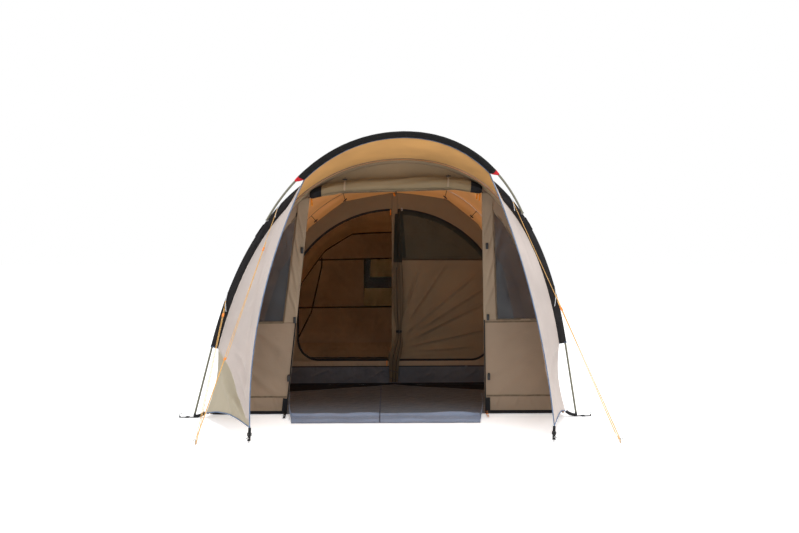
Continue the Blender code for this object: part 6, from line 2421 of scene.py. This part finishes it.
@dataclass
class Zips:
    """The two sliders of the inner doors, each with an orange pull, and the white loop at the arc's top.

    Attributes:
        front: depth of their middles.
        width, thickness, height: size of a slider.
        places: distance from the tent's middle and height of each.
    """

    front: float = 1.3952
    width: float = 0.012
    thickness: float = 0.006
    height: float = 0.010
    places: tuple = ((0.04137, 1.69933), (0.005, 0.234))

    def build(self) -> None:
        """Makes both sliders on their own bodies."""
        for name, (across, up) in zip(("arc", "sill"), self.places):
            self.slider(name, np.array([across, self.front, up]))
        start = np.array([0.150, 1.3955, 1.702])
        turns = np.linspace(0.0, 2.0 * math.pi, 25)[:-1]
        loop = start + xyz(0.006 * np.sin(turns), -0.002 - 0.002 * np.cos(turns), 0.014 * np.cos(turns))
        Body().tube(loop, 0.0020, 8).piece("inner_loop", WHITE_CORD, "rope")

    def slider(self, name: str, place: Array) -> None:
        """A slider: two plates round the zip, a bridge over them, and a pull tab that hangs from it.

        Args:
            name: the slider's name.
            place: its middle.
        """
        body = "zip_slider_" + name
        made = Body()
        for shift in (-1.0, 1.0):
            made.block((self.width, 0.0016, self.height), place + (0.0, shift * 0.0021, 0.0), edge=0.0007)
        made.block((0.0030, self.thickness, 0.0030), place, edge=0.0006)
        front = place + (0.0, -self.thickness / 2.0, 0.0)
        bridge = front + np.array([(0.0, 0.0006, 0.004), (0.0, -0.0022, 0.0025), (0.0, -0.0022, -0.0025),
                                   (0.0, 0.0006, -0.004)])
        made.tube(resampled(bridge, 10), 0.0007, 8)
        made.piece("zip_runner_" + name, PLASTIC, "plastic", (body,), body=body)
        hang = xyz(0.0, -0.0012 * np.sin(np.linspace(0.0, math.pi, 12)), -np.linspace(0.0, 0.052, 12))
        pull = Body().ribbon(front + (0.0, -0.0024, 0.0) + hang, FORWARD, 0.010, 0.0022)
        pull.piece("zip_pull_" + name, ORANGE_TAPE, "webbing", body=body)


# Straps, buckles and pegs
def peg_line(foot: Array, lean: float, height: float = 0.035, hook: float = 0.009) -> Array:
    """A peg's head above the ground: a stem and a hook that turns towards a side.

    Args:
        foot: where it enters the ground.
        lean: 1 for a hook to the right, -1 for one to the left.
        height: its height.
        hook: radius of its hook.

    Returns:
        Points of its middle line.
    """
    turns = np.linspace(0.0, math.pi, 14)
    bend = xyz(hook * (1.0 - np.cos(turns)) * lean, 0.0, height - hook + hook * np.sin(turns))
    return np.asarray(foot) + np.vstack([[(0.0, 0.0, 0.0008)], [(0.0, 0.0, 0.010)], bend])


def peg(name: str, place: tuple, lean: float, replaces: tuple = (), radius: float = 0.0030) -> None:
    """Makes a steel peg that stands at a place and rides with the tent."""
    Body().tube(peg_line(place, lean), radius, 12).piece(name, STEEL, "steel", replaces)


@dataclass
class Anchors:
    """The straps, ladder-lock buckles and pegs at the arches' feet and at the wings' toes.

    Attributes:
        width: width of a foot strap.
        lead: how far the front straps reach up inside the foot, and the others.
        tail: how far they reach outside it.
        buckle: size of a foot buckle.
        buckle_place: distance of the buckle from the foot.
    """

    width: float = 0.025
    lead: tuple = (0.092, 0.044)
    tail: float = 0.110
    buckle: tuple = (0.028, 0.036, 0.0095)
    buckle_place: float = 0.052

    def build(self) -> None:
        """Makes every anchor."""
        for number, (name, arch) in enumerate(ARCHES.items()):
            lead = self.lead[0] if number == 0 else self.lead[1]
            for side_name, side in SIDES.items():
                self.foot(name, side_name, arch, side, lead)
        for name, side in SIDES.items():
            self.wing(name, side)
            self.heel(name, side)

    def heel(self, name: str, side: float) -> None:
        """The webbing from a wing's rear corner to the foot of the front arch.

        Args:
            name: name of its side.
            side: -1 for the left side and 1 for the right one.
        """
        foot = foot_place(FRONT_ARCH, side)
        start = pitched(np.array([side * 1.408, -0.030, 0.046]))
        end = np.array([foot[0] - side * 0.004, -0.034, 0.018])
        path = segment(start, end, 30)
        path[:, 2] -= 0.010 * bump(ramp(30))
        body = Body().ribbon(path, (0.0, -1.0, 0.25), 0.024, 0.0018)
        body.ribbon(path[:14] + (0.0, -0.0026, -0.001), (0.0, -1.0, 0.25), 0.026, 0.0018)
        body.piece("heel_webbing_" + name, BLACK_TAPE, "webbing")

    def foot(self, name: str, side_name: str, arch: Arch, side: float, lead: float) -> None:
        """A foot's strap, its buckle, the strap's folded end, and its peg.

        Args:
            name: the arch's name.
            side_name: name of the foot's side.
            arch: the arch.
            side: -1 for the left side and 1 for the right one.
            lead: how far the strap reaches up inside the foot.
        """
        title = "_%s_%s" % (name, side_name)
        foot = foot_place(arch, side)[0]
        depth = arch.depth - 0.006
        line = np.array([(foot - side * lead, depth, HEM_HEIGHT + lead / 4.0),
                         (foot - side * 0.012, depth, STRAP_HEIGHT),
                         (foot + side * self.tail, depth, STRAP_HEIGHT)])
        path = resampled(line, 60)
        path[:, 1] += 0.0003 * np.sin(np.linspace(0.0, 9.0, 60))
        body = Body().ribbon(path - (0.0, 0.0, STRAP_CLOTH / 2.0), UPWARD, self.width, STRAP_CLOTH)
        turns = np.linspace(0.0, 1.5 * math.pi, 14)
        fold = path[-1] + xyz(side * (0.001 + 0.004 * np.sin(turns)), 0.0, 0.004 - 0.004 * np.cos(turns))
        body.ribbon(fold, UPWARD, self.width - 0.002, 0.0016)
        body.piece("strap" + title, BLACK_TAPE, "webbing", ("foot_strap" + title,))
        place = np.array([foot + side * self.buckle_place, depth, 0.00475])
        ladder = self.ladder(place, np.eye(3), self.buckle)
        if name == "front":
            rider = "foot_buckle_" + side_name
            ladder.piece("buckle" + title, PLASTIC, "plastic", (rider,), body=rider)
            start = foot + side * (self.tail + 0.0033)
            peg("peg" + title, (start, depth, 0.0), -side, ("foot_peg_" + side_name,))
        else:
            ladder.piece("buckle" + title, PLASTIC, "plastic")
            start = foot + side * (self.tail + 0.0034)
            peg("peg" + title, (start, depth, 0.0), -side, radius=0.0029)

    def ladder(self, place: Array, axes: Array, size: tuple) -> Body:
        """A ladder-lock buckle: a frame of two rails with three bars, the middle one raised, and a lip.

        Args:
            place: its middle.
            axes: rows are its directions along, across and up.
            size: its length, width and height.

        Returns:
            A body with the buckle.
        """
        body = Body()
        length, width, height = size
        along, across, up = np.asarray(axes, dtype=float)
        for shift in (-1.0, 1.0):
            rail = place + across * shift * (width / 2.0 - 0.0022)
            body.block((length, 0.0044, height * 0.8), rail, axes, 0.0012)
            bar = place + along * shift * (length / 2.0 - 0.0020) + up * 0.0028
            body.block((0.0040, width - 0.006, 0.0028), bar, axes, 0.0010)
        body.block((0.0050, width - 0.006, 0.0030), place + up * 0.0034, axes, 0.0012)
        for shift in np.linspace(-0.3, 0.3, 5):
            body.block((0.0060, 0.0016, 0.0008), place + up * 0.0050 + across * shift * width, axes, 0.0003)
        return body

    def wing(self, name: str, side: float) -> None:
        """A wing's strap with its buckle, the loose tail, and the peg at its toe.

        Args:
            name: name of its side.
            side: -1 for the left side and 1 for the right one.
        """
        top = pitched(np.array([side * Wings.toe[0] + Wings.shift, Wings.toe[1], 0.0997]))
        low = np.array([side * 1.036 + Wings.shift, -0.775, 0.012])
        along = unit(low - top)
        across = unit(np.cross(along, (0.0, 1.0, 0.0)))
        out = unit(np.cross(across, along))
        out = out * -np.sign(out[1])
        start = top + along * 0.0005
        path = between(start, low, ramp(30)[:, None])
        body = Body().ribbon(path - out * (STRAP_CLOTH / 2.0), out, 0.020, STRAP_CLOTH)
        curl = (start + low) / 2.0 + along * 0.012 + out * 0.0052
        turns = ramp(16)[:, None]
        tail = curl + along * 0.034 * turns + out * 0.012 * turns ** 2
        body.ribbon(tail, out, 0.019, 0.0016)
        body.piece("wing_webbing_" + name, BLACK_TAPE, "webbing", ("wing_strap_" + name,))
        rider = "wing_buckle_" + name
        axes = np.stack([along, across, out])
        self.ladder((start + low) / 2.0, axes, (0.0224, 0.0306, 0.0095)).piece(
            "wing_lock_" + name, PLASTIC, "plastic", (rider,), body=rider)
        peg("wing_pin_" + name, (low[0], low[1] - 0.0042, 0.0), side, ("wing_peg_" + name,))


# Guy ropes
class Height(Enum):
    """Where a guy rope leaves the front arch."""

    UPPER = 0.528
    LOWER = 0.870


@dataclass
class GuyRopes:
    """Four guy ropes: each runs from a white loop on the sleeve round a peg and back up to its runner.

    Attributes:
        diameter: of the rope.
        spacing, loop_width: distance between its two strands, in the runner and round the peg.
        peg, shift: place of the right peg, and how far both pegs lie to the right of their places.
        hitches: heights at which the ropes go round the pegs.
        loop: how far the loop reaches below the strands' ends.
        travel, tail: how far the strands run side by side below and above the runner.
        hook: place and width of the left upper rope's hook, along and across the rope.
        tight: distance between the strands below the hook.
        ring: the same above the peg of the right upper rope.
        fuzz: how far the braid stands out from the rope.
        low_reach: distance of the lower ropes' runners below the ropes' tops.
        high_reach: the same for the left and the right upper rope.
    """

    diameter: float = 0.0032
    spacing: float = 0.0068
    loop_width: float = 0.0098
    peg: tuple = (1.430, -0.820, 0.0)
    shift: float = 0.157
    hitches: tuple = (0.0240, 0.0100)
    loop: float = 0.010
    travel: float = 0.27
    tail: float = 0.060
    hook: tuple = (1.24, 0.017)
    tight: float = 0.0046
    ring: float = 0.026
    fuzz: float = 0.0004
    low_reach: float = 0.135
    high_reach: tuple = (0.355, 0.935)

    def reach(self, height: Height, side: float) -> float:
        """Distance of a runner below its rope's top.

        Args:
            height: which rope it is.
            side: -1 for the left side and 1 for the right one.

        Returns:
            The distance in metres.
        """
        if height is Height.LOWER:
            return self.low_reach
        return self.high_reach[0] if side < 0.0 else self.high_reach[1]

    def line(self, height: Height, side: float) -> tuple[Array, Array, Array, Array]:
        """A rope's top, its low end beside the peg, the way up and the way outwards.

        Args:
            height: which rope it is.
            side: -1 for the left side and 1 for the right one.

        Returns:
            The four, as said.
        """
        half = FRONT_ARCH.bow(0.0, np.array([height.value]))[0]
        front = POLE_RADIUS + SLEEVE_CLOTH + self.diameter / 2.0 + 2.0 * SEAM_GAP + GAP
        top = pitched(np.array([side * half[0], -front, half[1]]))
        hitch = self.hitches[0] if height is Height.UPPER else self.hitches[1]
        peg = np.array([side * self.peg[0] + self.shift, self.peg[1], hitch])
        outward = unit(np.cross(top - peg, (0.0, 0.0, side)))
        low = peg + outward * self.loop_width / 2.0
        return top, low, unit(top - low), outward

    def path(self, height: Height, side: float) -> Array:
        """The rope's own line: down to the peg, round it, and back up past the runner.

        Args:
            height: which rope it is.
            side: -1 for the left side and 1 for the right one.

        Returns:
            Points of shape (n, 3).
        """
        top, low, along, outward = self.line(height, side)
        first = segment(top, low, 90)
        turns = np.linspace(0.0, math.pi, 16)[1:-1, None]
        aside = outward * self.loop_width / 2.0 * (1.0 - np.cos(turns))
        bend = low - aside - along * self.loop * np.sin(turns)
        length = float(np.linalg.norm(top - low))
        runner = self.reach(height, side)
        places = [(runner - self.tail, self.spacing), (runner + self.travel, self.spacing)]
        if height is Height.UPPER and side < 0.0:
            places += [self.hook, (self.hook[0] + self.tail / 2.0, self.tight),
                       (length - self.tail, self.tight)]
        elif height is Height.UPPER:
            places += [(length - self.tail, self.ring)]
        widths = np.array(places + [(length, self.loop_width)])
        down = np.linspace(length, widths[0, 0], 90)[:, None]
        second = top - along * down - outward * np.interp(down, widths[:, 0], widths[:, 1])
        return np.vstack([first, bend, second])

    def build(self) -> None:
        """Makes the ropes with their runners, clips and pegs."""
        for name, side in SIDES.items():
            for height in Height:
                self.rope("%s_%s" % (height.name.lower(), name), height, side)
            _, low, _, outward = self.line(Height.UPPER, side)
            middle = low - outward * self.loop_width / 2.0
            peg("guy_pin_" + name, (middle[0], middle[1], 0.0), side, ("guy_peg_" + name,))

    def rope(self, title: str, height: Height, side: float) -> None:
        """One rope, its runner on the runner's own body, and the white loop that it hangs from.

        Args:
            title: what its pieces' names end with.
            height: which rope it is.
            side: -1 for the left side and 1 for the right one.
        """
        top, _, along, outward = self.line(height, side)
        path = self.path(height, side)
        length = length_of(path)
        fine = resampled(path, int(length / 0.010))
        rope = Body().tube(fine, self.diameter / 2.0 + self.fuzz, 8).piece(
            "rope_" + title, ROPE, "rope", ("guy_rope_" + title,), sharp=80.0)
        runner = self.runner(title, top - along * self.reach(height, side) - outward * self.spacing / 2.0,
                             along, outward)
        self.clip(title, height, side, top)
        if height is Height.UPPER and side < 0.0:
            spot = top - along * (self.hook[0] + 0.008) - outward * 0.006
            axes = np.stack([along, outward, unit(np.cross(along, outward))])
            hook = Body().block((0.020, 0.022, 0.006), spot, axes, 0.0026)
            hook.piece("rope_hook_" + title, ORANGE_PLASTIC, "runner")

    def runner(self, title: str, place: Array, along: Array, outward: Array) -> bpy.types.Object:
        """A moulded runner: a rounded bar with a waist and raised ends, and two eyes at its ends.

        Args:
            title: what its pieces' names end with.
            place: its middle.
            along: the way up the rope.
            outward: the way from strand to strand.

        Returns:
            The runner.
        """
        up = unit(np.cross(along, outward))
        steps = np.linspace(-1.0, 1.0, 25)
        waist = 1.0 - 0.18 * np.cos(steps * math.pi / 2.0) ** 2
        ends = np.sqrt(np.maximum(0.0, 1.0 - np.abs(steps) ** 8)) * 0.96 + 0.04
        turns = full_turn(24)
        waves = np.stack([np.cos(turns), np.sin(turns)])
        wide, high = (np.sign(waves) * np.abs(waves) ** 0.7)[:, None, :, None]
        rings = (place + along * (steps * 0.0150)[:, None])[:, None] \
            + outward * (0.0100 * waist * ends)[:, None, None] * wide \
            + up * (0.0040 * (0.8 + 0.2 * waist) * ends)[:, None, None] * high
        body = Body().solid(rings)
        for shift in (-1.0, 1.0):
            for end in (-1.0, 1.0):
                eye = place + along * end * 0.0146 + outward * shift * self.spacing / 2.0
                body.ring(eye, along, 0.0026, 0.0009)
        return body.piece("runner_" + title, ORANGE_PLASTIC, "runner", ("guy_runner_" + title,),
                          body="guy_runner_" + title)

    def clip(self, title: str, height: Height, side: float, top: Array) -> None:
        """A white cord laid in a V round the sleeve, with the knot that the rope starts from.

        Args:
            title: what its pieces' names end with.
            height: which rope it is.
            side: -1 for the left side and 1 for the right one.
            top: the rope's top.
        """
        steps = height.value + np.array([-0.028, 0.028])
        outer = FRONT_ARCH.bow(-0.0105, steps)
        inner = FRONT_ARCH.bow(0.030, steps)
        arms = Body()
        for start in (outer[0], inner[1]):
            back = pitched(np.array([side * start[0], -0.0128, start[1]]))
            path = segment(back, top + (0.0, -0.0008, 0.0), 14)
            path[:, 1] -= 0.0035 * bump(ramp(14))
            arms.tube(path, 0.0028, 8)
        arms.piece("rope_loop_" + title, WHITE_CORD, "rope")
        lean = np.array([0.3 * side, 0.2, 1.0])
        line = top + np.linspace(-0.005, 0.005, 7)[:, None] * lean + (0.0, -0.001, 0.0)
        knot = Body().tube(line, 0.0034 * np.sqrt(1.0 - np.linspace(-0.9, 0.9, 7) ** 2), 12)
        knot.piece("rope_knot_" + title, ROPE, "rope")


# Studio
def seen_white(nodes: Nodes) -> bpy.types.NodeSocket:
    """1 for what the camera sees itself, mirrored or through a pane, and 0 for the light on the tent.

    Args:
        nodes: nodes of a material or world.

    Returns:
        The value's socket.
    """
    ray = nodes.add("ShaderNodeLightPath").outputs
    seen = nodes.math("MAXIMUM", ray["Is Camera Ray"], ray["Is Glossy Ray"])
    return nodes.math("MAXIMUM", seen, ray["Is Transmission Ray"])


@dataclass
class Studio:
    """A white floor that takes the tent's shadow, soft lamps, a pale world and the camera.

    Attributes:
        eye: where the camera stands.
        down, right: how far it looks down and to the right, in degrees.
        lens: its focal length in millimetres.
        sky: strength of the world's light.
        lift: how much whiter than lit the floor looks.
    """

    eye: tuple = (0.016, -5.75, 1.30)
    down: float = 1.21
    right: float = 0.895
    lens: float = 33.16
    sky: float = 0.75
    lift: float = 0.35

    def camera(self) -> None:
        """The camera that sees the tent as the photograph does."""
        data = bpy.data.cameras.new("camera")
        data.lens = self.lens
        data.clip_end = 100.0
        turn = (math.radians(90.0 - self.down), 0.0, -math.radians(self.right))
        bpy.context.scene.camera = added("camera", data, self.eye, turn)

    def build(self) -> None:
        """Makes the floor, the world and the lamps."""
        self.floor()
        self.world()
        lamps = (("key", (1.2, -3.2, 8.0), (0.0, 0.2, 0.8), 4.0, 350.0),
                 ("left", (-7.0, -2.2, 2.8), (-1.2, -0.3, 0.8), 3.0, 95.0),
                 ("right", (7.0, -2.6, 3.0), (1.2, -0.3, 0.8), 3.0, 105.0),
                 ("top", (0.5, 1.8, 7.0), (0.0, 1.6, 0.0), 6.0, 110.0),
                 ("back", (0.0, 9.5, 4.5), (0.0, 2.5, 0.8), 5.0, 150.0))
        for name, place, target, size, power in lamps:
            data = bpy.data.lights.new(name, "AREA")
            data.size = size
            data.energy = power
            turn = (Vector(target) - Vector(place)).to_track_quat("-Z", "Y").to_euler()
            added(name, data, place, turn)
        bpy.context.scene.view_settings.view_transform = "Standard"

    def floor(self) -> None:
        """A wide white floor: plain diffuse for the light, and white where it is seen unshaded."""
        mesh = bpy.data.meshes.new("floor")
        far = 60.0
        mesh.from_pydata([(-far, -far, 0.0), (far, -far, 0.0), (far, far, 0.0), (-far, far, 0.0)], [],
                         [(0, 1, 2, 3)])
        nodes = Nodes(bpy.data.materials.new("floor_white"))
        matt = nodes.add("ShaderNodeBsdfDiffuse", {"Color": (0.96, 0.96, 0.96, 1.0)})
        white = nodes.add("ShaderNodeEmission",
                          {"Strength": nodes.math("MULTIPLY", seen_white(nodes), self.lift)})
        nodes.finish(nodes.add("ShaderNodeAddShader", {0: matt.outputs[0], 1: white.outputs[0]}))
        mesh.materials.append(nodes.made)
        added("floor", mesh, (0.0, 0.0, -0.0008))

    def world(self) -> None:
        """A world that is white to the camera and softer as a light."""
        world = bpy.data.worlds.new("studio")
        nodes = Nodes(world, "ShaderNodeOutputWorld")
        soft = nodes.add("ShaderNodeBackground", {"Color": (0.95, 0.97, 1.0, 1.0), "Strength": self.sky})
        white = nodes.add("ShaderNodeBackground", {"Color": (1.0, 1.0, 1.0, 1.0), "Strength": 1.0})
        nodes.finish(nodes.add("ShaderNodeMixShader",
                               {0: seen_white(nodes), 1: soft.outputs[0], 2: white.outputs[0]}))
        bpy.context.scene.world = world


def main() -> None:
    """Builds every part of the scene in turn."""
    logging.basicConfig(level=logging.INFO, format="%(message)s")
    studio = Studio()
    studio.camera()
    GuyRopes().build()
    Poles().build()
    outer = OuterTent()
    outer.build()
    Wings().build(outer)
    FrontWall().build()
    DoorRoll().build()
    Groundsheet().build()
    InnerTent().build()
    GatheredDoor().build()
    Zips().build()
    Anchors().build()
    studio.build()


if __name__ == "__main__":
    main()
